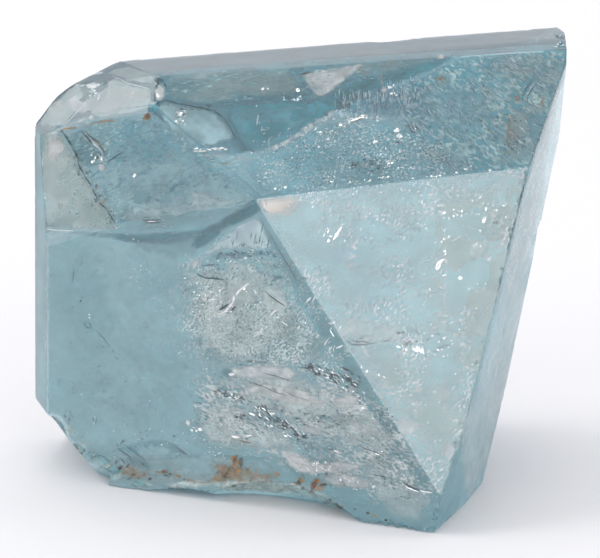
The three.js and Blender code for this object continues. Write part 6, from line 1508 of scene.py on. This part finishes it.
def sheet(kind, strength, soft, seed, outline):
    P = np.array(outline)
    c = P.mean(0)
    _, _, vt = np.linalg.svd(P - c)
    a, b, n = vt[0], vt[1], vt[2]
    if n @ IN > 0:
        n = -n
    q = np.stack([(P - c) @ a, (P - c) @ b], 1)
    height = (P - c) @ n
    area = 0.5 * np.sum(q[:, 0] * np.roll(q[:, 1], -1) - q[:, 1] * np.roll(q[:, 0], -1))
    if area < 0:
        q, height = q[::-1], height[::-1]
    # a slightly uneven outline
    ring, rh = [], []
    for i in range(len(q)):
        s, e = q[i], q[(i + 1) % len(q)]
        m = max(1, int(np.linalg.norm(e - s) / 0.35))
        for k in range(m):
            ring.append(s + (e - s) * k / m)
            rh.append(height[i] + (height[(i + 1) % len(q)] - height[i]) * k / m)
    ring, rh = np.array(ring), np.array(rh)
    step = 0.4
    lo, hi = ring.min(0), ring.max(0)
    gx, gy = np.meshgrid(np.arange(lo[0], hi[0], step), np.arange(lo[1], hi[1], step))
    g = np.stack([gx.ravel(), gy.ravel()], 1)
    s, e = ring, np.roll(ring, -1, 0)
    # inside test by winding, and distance to the outline
    w = np.zeros(len(g))
    for k in range(len(s)):
        d1, d2 = s[k] - g, e[k] - g
        w += np.arctan2(d1[:, 0] * d2[:, 1] - d1[:, 1] * d2[:, 0], (d1 * d2).sum(1))
    dist = np.sqrt(((g[:, None] - ring[None]) ** 2).sum(2)).min(1)
    keep = (np.abs(w) > math.pi) & (dist > step * 0.5)
    g, dist = g[keep], dist[keep]
    wgt = 1 / (((g[:, None] - ring[None]) ** 2).sum(2) + 1e-4) ** 1.5
    gh = (wgt * rh[None]).sum(1) / wgt.sum(1)
    all2 = np.vstack([ring, g])
    hh = np.concatenate([rh, gh])
    dd = np.concatenate([np.zeros(len(ring)), dist])
    v = c + all2[:, :1] * a + all2[:, 1:] * b + hh[:, None] * n
    sway = min(0.10, 0.25 * max(over(c)[1], 0.2))
    v = v + n * (sway * vnoise(v / 2.2, seed) * smooth(dd, 0, 1.5))[:, None]
    m = len(ring)
    out = delaunay_2d_cdt([Vector(x) for x in all2], [(i, (i + 1) % m) for i in range(m)], [], 1, 1e-7)
    back = [x[0] if x else 0 for x in out[3]]
    f = [tuple(back[i] for i in t) for t in out[2]]
    f = [t for t in f if len(set(t)) == 3]
    edge = dd + 0.6 * soft * fbm(v / 0.8, 2, seed + 5)
    h = strength * smooth(edge, 0.02, max(soft, 0.05))
    roof, lies = over(c)
    v, f, h = trimmed(v, f, h, 0.12, roof, 0.95 * lies if lies < 0.5 and abs(n @ roof) > 0.9 else 0.0)
    if f:
        veils.setdefault(kind, Pile()).add(v, f, h)


def cloud(kind, strength, centre, half, turn, lean, seed):
    rng = np.random.default_rng(9000 + seed)
    tilt = math.radians(rng.uniform(-22, 22) + lean)
    t = math.radians(turn)
    a = math.cos(t) * RIGHT + math.sin(t) * UP
    b = -math.sin(t) * RIGHT + math.cos(t) * UP
    n = np.cross(a, b)
    roof, depth = over(centre)
    shallow = depth < 1.2
    if shallow:
        a, b, tilt = laid(a, roof), laid(b, roof), 0.0
    b = b * math.cos(tilt) + n * math.sin(tilt)
    n = unit(np.cross(a, b))
    hw, hh = half[0] * 1.25, half[1] * 1.25
    m = int(np.clip(2 * math.pi * max(hw, hh) / 0.4, 12, 90))
    rings = int(np.clip(max(hw, hh) / 0.35, 4, 22))
    v = [np.array(centre)]
    rr = [0.0]
    wob = 1 + 0.18 * np.array([vnoise(np.array([[2 * math.cos(x), 2 * math.sin(x), seed * 1.7]]), seed)[0]
                               for x in np.arange(m) * 2 * math.pi / m])
    for r in range(1, rings + 1):
        for k in range(m):
            x = k * 2 * math.pi / m
            q = r / rings
            v.append(np.array(centre) + q * wob[k] * (hw * math.cos(x) * a + hh * math.sin(x) * b))
            rr.append(q)
    v, rr = np.array(v), np.array(rr)
    sway = min(0.16 * min(hw, hh) * 0.6, 0.25 * depth if shallow else 9.0)
    v = v + n * (sway * vnoise(v / max(0.8, 0.5 * hh), seed + 3))[:, None]
    f = [(0, 1 + k, 1 + (k + 1) % m) for k in range(m)]
    for r in range(rings - 1):
        o, p = 1 + r * m, 1 + (r + 1) * m
        for k in range(m):
            j = (k + 1) % m
            f.append((o + k, p + k, p + j))
            f.append((o + k, p + j, o + j))
    far = 2.4 * 2 * math.pi * max(half) / m + 0.3
    f = [q for q in f if max(np.linalg.norm(v[q[i]] - v[q[i - 1]]) for i in range(3)) < far]
    h = strength * (1 - smooth(rr + 0.22 * fbm(v / max(0.7, 0.35 * min(hw, hh)), 3, seed + 8), 0.25, 1.0))
    v, f, h = trimmed(v, f, h, 0.12)
    if f:
        veils.setdefault(kind, Pile()).add(v, f, h)


def lens(centre, a, b, n, length, width, rng):
    """A thin closed flake with an uneven rim."""
    m = 7 if length > 0.3 else 5
    ang = (np.arange(m) + rng.uniform(-0.3, 0.3, m)) * 2 * math.pi / m
    rad = rng.uniform(0.7, 1.15, m)
    rim = centre + rad[:, None] * (0.5 * length * np.cos(ang)[:, None] * a + 0.5 * width * np.sin(ang)[:, None] * b)
    th = 0.025 * width + 0.002
    v = np.vstack([rim, centre + th * n, centre - th * n])
    f = [(k, (k + 1) % m, m) for k in range(m)] + [((k + 1) % m, k, m + 1) for k in range(m)]
    return v, f


# On the upper front face the comb strokes are painted light and the combd strokes painted shade of its combs and
# ripples.
PLAIN = {"comb": "pale", "combd": "deep", "deepf": "deep"}


# how far the flakes' lie varies, degrees
LOOSE = {"glint": 4, "bright": 9, "pair": 8, "dark": 22, "comb": 12}


def flakes(kind, count, centre, field_turn, field, size, turn, scatter, deep, seed):
    rng = np.random.default_rng(7000 + seed)
    ft = math.radians(field_turn)
    fa = math.cos(ft) * RIGHT + math.sin(ft) * UP
    fb = -math.sin(ft) * RIGHT + math.cos(ft) * UP
    roof, depth = over(centre)
    if depth < 1.2:
        fa, fb = laid(fa, roof), laid(fb, roof)
        deep = min(deep, 0.16)
    # flakes gather in drifts rather than spread evenly
    hubs = rng.uniform(-1, 1, (max(2, count // 7), 2))
    for k in range(count):
        if rng.uniform() < 0.6 and count > 6:
            x, y = hubs[rng.integers(len(hubs))] + rng.normal(size=2) * 0.16
        else:
            x, y = rng.uniform(-1, 1, 2)
        if x * x + y * y > 1.25:
            x, y = x * 0.7, y * 0.7
        p = np.array(centre) + x * field[0] * fa + y * field[1] * fb + IN * rng.uniform(-0.35, 1) * deep
        t = math.radians(turn + rng.normal() * scatter)
        a = math.cos(t) * RIGHT + math.sin(t) * UP
        b = -math.sin(t) * RIGHT + math.cos(t) * UP
        n2 = unit(flash_at(p) + math.radians(LOOSE.get(kind, 14)) * (rng.normal() * a + rng.normal() * b))
        a = unit(a - (a @ n2) * n2)
        b2 = np.cross(n2, a)
        s = rng.uniform(0.55, 1.35)
        L, W = size[0] * s * rng.uniform(0.7, 1.3), size[1] * s
        reach = max(L, W) * 0.55
        if not buried(np.array([p, p + a * reach, p - a * reach, p - IN * 0.02]), 0.06).all():
            continue
        shapes = [(PLAIN.get(kind, kind), p, L, W)]
        # In pairs, the pale and the dark half side by side paint the light and shade of a ripple's two flanks.
        if kind in ("pair", "pairs"):
            off = b * W * 0.62
            bright = "glint" if kind == "pair" else "pale"
            dark = "dark" if kind == "pair" else "deep"
            shapes = [(bright, p + off, L, W * 0.8), (dark, p - off, L * rng.uniform(0.8, 1.2), W * 0.9)]
            if rng.uniform() < (0.45 if kind == "pair" else 0.25):
                shapes = shapes[1:] if kind == "pair" else shapes[:1]
        for mat, q, l, w_ in shapes:
            v, f = lens(q, a, b2, n2, l, max(w_, 0.06), rng)
            solids.setdefault(mat, Pile()).add(v, f, np.full(len(v), rng.uniform()))


def thread(kind, width, seed, path):
    """A thin closed sliver along a path, tapered at both ends."""
    rng = np.random.default_rng(5000 + seed)
    P = np.array(path, float)
    seg = np.linalg.norm(np.diff(P, axis=0), axis=1)
    cum = np.concatenate([[0], np.cumsum(seg)])
    n = max(4, int(cum[-1] / 0.25))
    s = np.linspace(0, cum[-1], n)
    Q = np.stack([np.interp(s, cum, P[:, k]) for k in range(3)], 1)
    Q = Q + 0.05 * np.stack([vnoise(Q / 0.5, seed), 0 * s, vnoise(Q / 0.5, seed + 1)], 1)
    Q = Q[buried(Q, 0.05 + 0.2 * width)]
    n = len(Q)
    if n < 4:
        return
    s = np.linspace(0, cum[-1], n)
    T = np.gradient(Q, axis=0)
    T = T / np.linalg.norm(T, axis=1)[:, None]
    B = np.cross(T, flash_at(Q.mean(0)) if kind == "glint" else IN)
    B = B / np.linalg.norm(B, axis=1)[:, None]
    N = np.cross(B, T)
    thick = 0.05 if kind == "glint" else 0.35
    w = 0.5 * width * np.sqrt(np.clip(np.sin(math.pi * (s / cum[-1] * 0.96 + 0.02)), 0.02, 1))
    w = w * (0.75 + 0.55 * np.abs(vnoise(Q / 0.4, seed + 2)))
    v, f = [], []
    for k in range(n):
        v += [Q[k] + B[k] * w[k], Q[k] + N[k] * w[k] * thick, Q[k] - B[k] * w[k], Q[k] - N[k] * w[k] * thick]
    for k in range(n - 1):
        for j in range(4):
            f.append((4 * k + j, 4 * k + (j + 1) % 4, 4 * k + 4 + (j + 1) % 4, 4 * k + 4 + j))
    f.append((3, 2, 1, 0))
    e = 4 * (n - 1)
    f.append((e, e + 1, e + 2, e + 3))
    solids.setdefault({"teal": "deep"}.get(kind, kind), Pile()).add(np.array(v), f, np.full(len(v), rng.uniform()))


def mist():
    """Broad, very thin clouds all through the crystal, which make it hazy rather than water-clear."""
    rng = np.random.default_rng(77)
    k = 0
    for x in (-17, -4, 9, 19):
        for z in (10, 22, 35):
            for y in (0.55,):
                c = np.array([x + rng.uniform(-3, 3), 0.0, z + rng.uniform(-3, 3)])
                room = np.linspace(-17, 18, 71)
                line = np.stack([np.full(71, c[0]), room, np.full(71, c[2])], 1)
                ok = buried(line, 0.8)
                if ok.sum() < 8:
                    continue
                a, b = room[ok][0], room[ok][-1]
                c[1] = a + (b - a) * (y + rng.uniform(-0.1, 0.1))
                k += 1
                cloud("haze", MIST, tuple(c), (rng.uniform(7, 11), rng.uniform(6, 9)), rng.uniform(0, 180), rng.uniform(-25, 25), 300 + k)


MIST = 0.42
mist()
for it in SHEETS:
    sheet(*it)
for it in CLOUDS:
    cloud(*it)
for it in FLAKES:
    flakes(*it)
for it in THREADS:
    thread(*it)


def veil_material(kind, colour, grain, cover, mirror, grit=None):
    """A film of tiny bubbles or healed crack. Two films in the wedge under the top edge of the upper front face are
    painted shade instead, and the ripple and comb films paint the light and shade of that face's ripples and combs.
    grain is the size of its mottling, cover how closed it is and mirror how far it throws light straight back;
    grit (fineness, direction, stretch) breaks it up into specks, which are the fewer the thinner the film."""
    m, nt, b = principled("veil_" + kind)
    spots = noise_node(nt, grain, 2, 0.62, (1.0, 1.0, 1.25), (0.1, 0.5, 0.2))
    ramp = nt.nodes.new("ShaderNodeMix")
    ramp.data_type = "RGBA"
    ramp.inputs[6].default_value = (*[c * 0.84 for c in colour], 1)
    ramp.inputs[7].default_value = (*[min(1, c * 1.1) for c in colour], 1)
    nt.links.new(span(nt, spots, 0.34, 0.66, 0, 1), ramp.inputs[0])
    nt.links.new(ramp.outputs[2], b.inputs["Base Color"])
    b.inputs["Roughness"].default_value = 0.45
    b.inputs["Specular IOR Level"].default_value = 0.1
    b.inputs["Metallic"].default_value = mirror
    thick = attribute(nt, "haze")
    if grit:
        over = maths(nt, "ADD", drawn(nt, *grit), span(nt, thick, 0, 1, -0.66, -0.36))
        specks = span(nt, over, -0.08, 0.08, 0, cover[1])
        patches = span(nt, spots, 0.36, 0.6, cover[0], 1.0)
        thick = maths(nt, "MULTIPLY", span(nt, thick, 0, 0.12, 0, 1), patches)
        nt.links.new(maths(nt, "MULTIPLY", thick, specks), b.inputs["Alpha"])
        return m
    broad = span(nt, spots, 0.34, 0.66, cover[0], 1.0)
    if cover[1] < 1:
        broad = maths(nt, "MULTIPLY", broad, span(nt, noise_node(nt, 1400, 1, 0.5), 0.3, 0.7, cover[1], 1.0))
    nt.links.new(maths(nt, "MULTIPLY", thick, broad), b.inputs["Alpha"])
    return m


# colour, size of the mottling, cover, how far it mirrors, specks
VEIL_LOOK = {
    "haze": ((0.45, 0.67, 0.71), 150, (0.5, 1), 0.0),
    "dusk": ((0.20, 0.60, 0.66), 110, (0.8, 1), 0.0),
    "sea": ((0.06, 0.42, 0.52), 260, (0.7, 1), 0.2),
    "slate": ((0.36, 0.68, 0.75), 300, (0.7, 1), 0.3),
    "tide": ((0.33, 0.635, 0.695), 260, (0.75, 1), 0.6),
    "aqua": ((0.56, 0.82, 0.88), 360, (0.6, 1), 0.3),
    "blue": ((0.23, 0.65, 0.79), 240, (0.7, 1), 0.5),
    "milk": ((0.90, 0.965, 0.975), 420, (0.6, 0.95), 0.1),
    "snow": ((0.965, 0.965, 0.97), 520, (0.80, 1), 0.1),
    "film": ((0.84, 0.92, 0.93), 160, (0.75, 1), 0.2),
    "sage": ((0.62, 0.735, 0.72), 220, (0.7, 1), 0.5),
    "smoke": ((0.52, 0.62, 0.62), 300, (0.5, 0.8), 0.5),
    "lilac": ((0.90, 0.94, 0.98), 360, (0.75, 1), 0.1),
    "pale": ((0.86, 0.94, 0.965), 500, (0.5, 0.8), 0.4),
    "moss": ((0.57, 0.71, 0.665), 260, (0.75, 1), 0.2),
    "peach": ((0.90, 0.81, 0.75), 300, (0.7, 1), 0.1),
    "sky": ((0.34, 0.69, 0.82), 300, (0.5, 1), 0.6),
    "deep": ((0.05, 0.34, 0.42), 300, (0.6, 1), 0.0),
    "teal": ((0.03, 0.34, 0.44), 420, (0.6, 1), 0.0),
    "rust": ((0.50, 0.31, 0.16), 520, (0.35, 0.8), 0.2),
    "cream": ((0.81, 0.96, 0.975), 420, (0.7, 0.97), 0.65),
    "frost": ((0.95, 0.985, 0.99), 800, (0.7, 0.85), 0.8),
    "fog": ((0.56, 0.70, 0.715), 240, (0.7, 1), 0.05),
    "opal": ((0.73, 0.905, 0.99), 360, (0.8, 1), 0.6),
    "grain_up": ((0.82, 0.985, 0.99), 260, (0.35, 0.85), 0.85, (5200, 42, 1.8)),
    "grain_down": ((0.88, 0.975, 0.985), 260, (0.35, 0.85), 0.7, (3800, -18, 2.6)),
    "grain_diag": ((0.94, 0.975, 0.985), 240, (0.1, 0.6), 0.4, (4200, 50, 2.2)),
    "grain_flat": ((0.62, 0.92, 0.98), 240, (0.2, 0.6), 0.5, (4000, 14, 3.4)),
    "shade_up": ((0.06, 0.38, 0.45), 300, (0.3, 0.75), 0.0, (5000, 40, 1.7)),
    "shade_down": ((0.04, 0.32, 0.38), 300, (0.3, 0.75), 0.0, (3800, -20, 2.4)),
    "shade_diag": ((0.30, 0.62, 0.74), 240, (0.1, 0.6), 0.0, (4000, 50, 2.2)),
    "shade_flat": ((0.10, 0.50, 0.63), 260, (0.2, 0.6), 0.0, (3800, 14, 3.4)),
    # The ripple and comb films are painted light and shade of the ripples and combs in the upper front face.
    "ripple_light": ((0.64, 0.92, 0.97), 240, (0.4, 0.8), 0.55, (2500, -58, 4.5)),
    "ripple_shade": ((0.10, 0.48, 0.60), 240, (0.4, 0.8), 0.0, (2300, -56, 4.5)),
    "comb_light": ((0.62, 0.82, 0.91), 300, (0.4, 0.8), 0.7, (2400, 88, 7.0)),
    "comb_shade": ((0.06, 0.43, 0.59), 300, (0.4, 0.8), 0.0, (2300, 88, 7.0)),
}
for kind, pile in veils.items():
    pile.build("veil_" + kind, veil_material(kind, *VEIL_LOOK[kind]))


def flake_material(kind, colour, metal, rough, sheen):
    m, nt, b = principled("flake_" + kind)
    own = attribute(nt, "haze")
    ramp = nt.nodes.new("ShaderNodeMix")
    ramp.data_type = "RGBA"
    ramp.inputs[6].default_value = (*[c * 0.7 for c in colour], 1)
    ramp.inputs[7].default_value = (*colour, 1)
    nt.links.new(own, ramp.inputs[0])
    nt.links.new(ramp.outputs[2], b.inputs["Base Color"])
    b.inputs["Metallic"].default_value = metal
    b.inputs["Specular IOR Level"].default_value = sheen
    r = span(nt, noise_node(nt, 1800, 1), 0.3, 0.7, rough * 0.8, rough * 1.3)
    nt.links.new(r, b.inputs["Roughness"])
    return m


FLAKE_LOOK = {
    "bright": ((0.95, 0.98, 1.0), 0.9, 0.26, 0.5),
    "glint": ((1.0, 1.0, 1.0), 1.0, 0.20, 0.5),
    "pale": ((0.66, 0.82, 0.90), 0.3, 0.4, 0.5),
    "dark": ((0.002, 0.095, 0.13), 0.0, 0.5, 0.0),
    "deep": ((0.03, 0.19, 0.27), 0.0, 0.5, 0.1),
    "rust": ((0.42, 0.24, 0.10), 0.0, 0.5, 0.3),
}
for kind, pile in solids.items():
    pile.build("flake_" + kind, flake_material(kind, *FLAKE_LOOK[kind]), False)

# ------------------------------------------------------------ iron and other stains on the skin, and painted shadow under the front lip

SEEN_FROM = np.array([0.08, -248.02, 87.56])


def skin_at(p):
    """The spot on the skin that p (mm) covers, seen from the front, or else the one closest to it."""
    d = unit(p - SEEN_FROM)
    hit = SKIN_TREE.ray_cast(Vector((p - 6 * d) * MM), Vector(d), 0.014)
    if hit[0] is None or float(np.array(hit[1]) @ d) > -0.12:
        hit = SKIN_TREE.find_nearest(Vector(p * MM))
    return np.array(hit[0]) / MM + np.array(hit[1]) * 0.015


def stain_or_painted_shadow(kind, strength, centre, half, turn, seed, piles):
    t = math.radians(turn)
    a = math.cos(t) * RIGHT + math.sin(t) * UP
    b = -math.sin(t) * RIGHT + math.cos(t) * UP
    m, rings = 26, 9
    v, rr = [], []
    for r in range(rings + 1):
        for k in range(m if r else 1):
            x = k * 2 * math.pi / m
            q = r / rings
            w = 1 + 0.35 * float(vnoise(np.array([[1.5 * math.cos(x), 1.5 * math.sin(x), seed * 2.3]]), seed)[0])
            p = np.array(centre) + q * w * (half[0] * math.cos(x) * a + half[1] * math.sin(x) * b)
            v.append(skin_at(p))
            rr.append(q)
    v, rr = np.array(v), np.array(rr)
    f = [(0, 1 + k, 1 + (k + 1) % m) for k in range(m)]
    for r in range(rings - 1):
        o, p = 1 + r * m, 1 + (r + 1) * m
        for k in range(m):
            j = (k + 1) % m
            f.append((o + k, p + k, p + j))
            f.append((o + k, p + j, o + j))
    h = strength * (1 - smooth(rr + 0.35 * fbm(v / 0.35, 3, seed + 8), 0.35, 1.0))
    piles.setdefault(kind, Pile()).add(v, f, h)


stains_and_painted_shadow = {}
for it in STAINS_AND_PAINTED_SHADOW:
    stain_or_painted_shadow(*it, stains_and_painted_shadow)


def stain_or_shadow_material(kind, colour):
    m, nt, b = principled("stain_" + kind)
    ramp = nt.nodes.new("ShaderNodeMix")
    ramp.data_type = "RGBA"
    ramp.inputs[6].default_value = (*[c * 0.55 for c in colour], 1)
    ramp.inputs[7].default_value = (*[min(1, c * 1.3) for c in colour], 1)
    nt.links.new(span(nt, noise_node(nt, 1500, 4, 0.6), 0.3, 0.7, 0, 1), ramp.inputs[0])
    nt.links.new(ramp.outputs[2], b.inputs["Base Color"])
    b.inputs["Roughness"].default_value = 0.75
    patchy = span(nt, noise_node(nt, 2200, 4, 0.7), 0.36, 0.56, 0.50, 1.0)
    nt.links.new(maths(nt, "MULTIPLY", attribute(nt, "haze"), patchy), b.inputs["Alpha"])
    return m


STAIN_AND_SHADOW_LOOK = {
    "ochre": (0.44, 0.23, 0.08), "umber": (0.11, 0.07, 0.04), "redbrown": (0.17, 0.048, 0.02),
    "buff": (0.36, 0.29, 0.21), "chalk": (0.70, 0.78, 0.76),
    # shade is the colour of the painted shadow under the front lip.
    "silt": (0.54, 0.63, 0.60), "shade": (0.16, 0.26, 0.28),
}
for kind, pile in stains_and_painted_shadow.items():
    pile.build("stain_" + kind, stain_or_shadow_material(kind, STAIN_AND_SHADOW_LOOK[kind]))

# --------------------------------------------------------------------- stage

def sweep():
    """Pale floor that curves up far behind the crystal."""
    prof = [(-1.2, 0.0), (-0.4, 0.0), (0.1, 0.0), (0.22, 0.0)]
    r = 0.35
    for i in range(1, 25):
        t = math.radians(90 * i / 24)
        prof.append((0.22 + r * math.sin(t), r * (1 - math.cos(t))))
    prof.append((0.22 + r, 1.6))
    v, f = [], []
    for y, z in prof:
        v.append((-1.6, y, z - 0.00005))
        v.append((1.6, y, z - 0.00005))
    for i in range(len(prof) - 1):
        f.append((2 * i, 2 * i + 1, 2 * i + 3, 2 * i + 2))
    m, nt, b = principled("paper")
    b.inputs["Base Color"].default_value = (0.815, 0.805, 0.825, 1)
    b.inputs["Roughness"].default_value = 0.9
    b.inputs["Specular IOR Level"].default_value = 0.1
    ob = to_object("floor", v, f, m)
    for p in ob.data.polygons:
        p.use_smooth = True
    return ob


floor = sweep()

w = bpy.data.worlds.new("studio")
bpy.context.scene.world = w
w.use_nodes = True
bg = w.node_tree.nodes["Background"]
bg.inputs["Color"].default_value = (0.98, 0.99, 1.0, 1)
bg.inputs["Strength"].default_value = 0.80


def area(name, at, to, size, power, colour=(1, 1, 1)):
    d = bpy.data.lights.new(name, "AREA")
    d.shape = "RECTANGLE"
    d.size, d.size_y = size
    d.energy = power
    d.color = colour
    o = bpy.data.objects.new(name, d)
    bpy.context.scene.collection.objects.link(o)
    o.location = at
    o.rotation_euler = (Vector(to) - Vector(at)).to_track_quat("-Z", "Y").to_euler()
    return o


area("key", (0.20, -0.50, 0.26), (0, 0, 0.02), (0.27, 0.24), 0.60)
area("fill", (-0.25, -0.42, 0.35), (0, 0, 0.02), (0.30, 0.26), 0.34)
area("side", (-0.62, 0.02, 0.62), (0, 0, 0.02), (0.50, 0.42), 1.8)
area("overhead", (-0.05, 0.50, 0.85), (0, 0.05, 0.0), (0.9, 0.7), 1.45)
area("backdrop", (0.0, 0.15, 0.75), (0, 0.57, 0.25), (1.0, 0.3), 1.2)

# -------------------------------------------------------------------- camera

cam_data = bpy.data.cameras.new("camera")
cam = bpy.data.objects.new("camera", cam_data)
bpy.context.scene.collection.objects.link(cam)
cam_data.lens = 150
cam_data.sensor_width = 36
cam_data.clip_start = 0.01
cam.location = (0.000080, -0.248020, 0.087559)
cam.rotation_euler = (math.radians(75), 0, 0)
bpy.context.scene.camera = cam

sc = bpy.context.scene
sc.view_settings.view_transform = "Standard"
sc.cycles.max_bounces = 10
sc.cycles.transmission_bounces = 10
sc.cycles.glossy_bounces = 10
sc.cycles.diffuse_bounces = 8
sc.cycles.transparent_max_bounces = 24
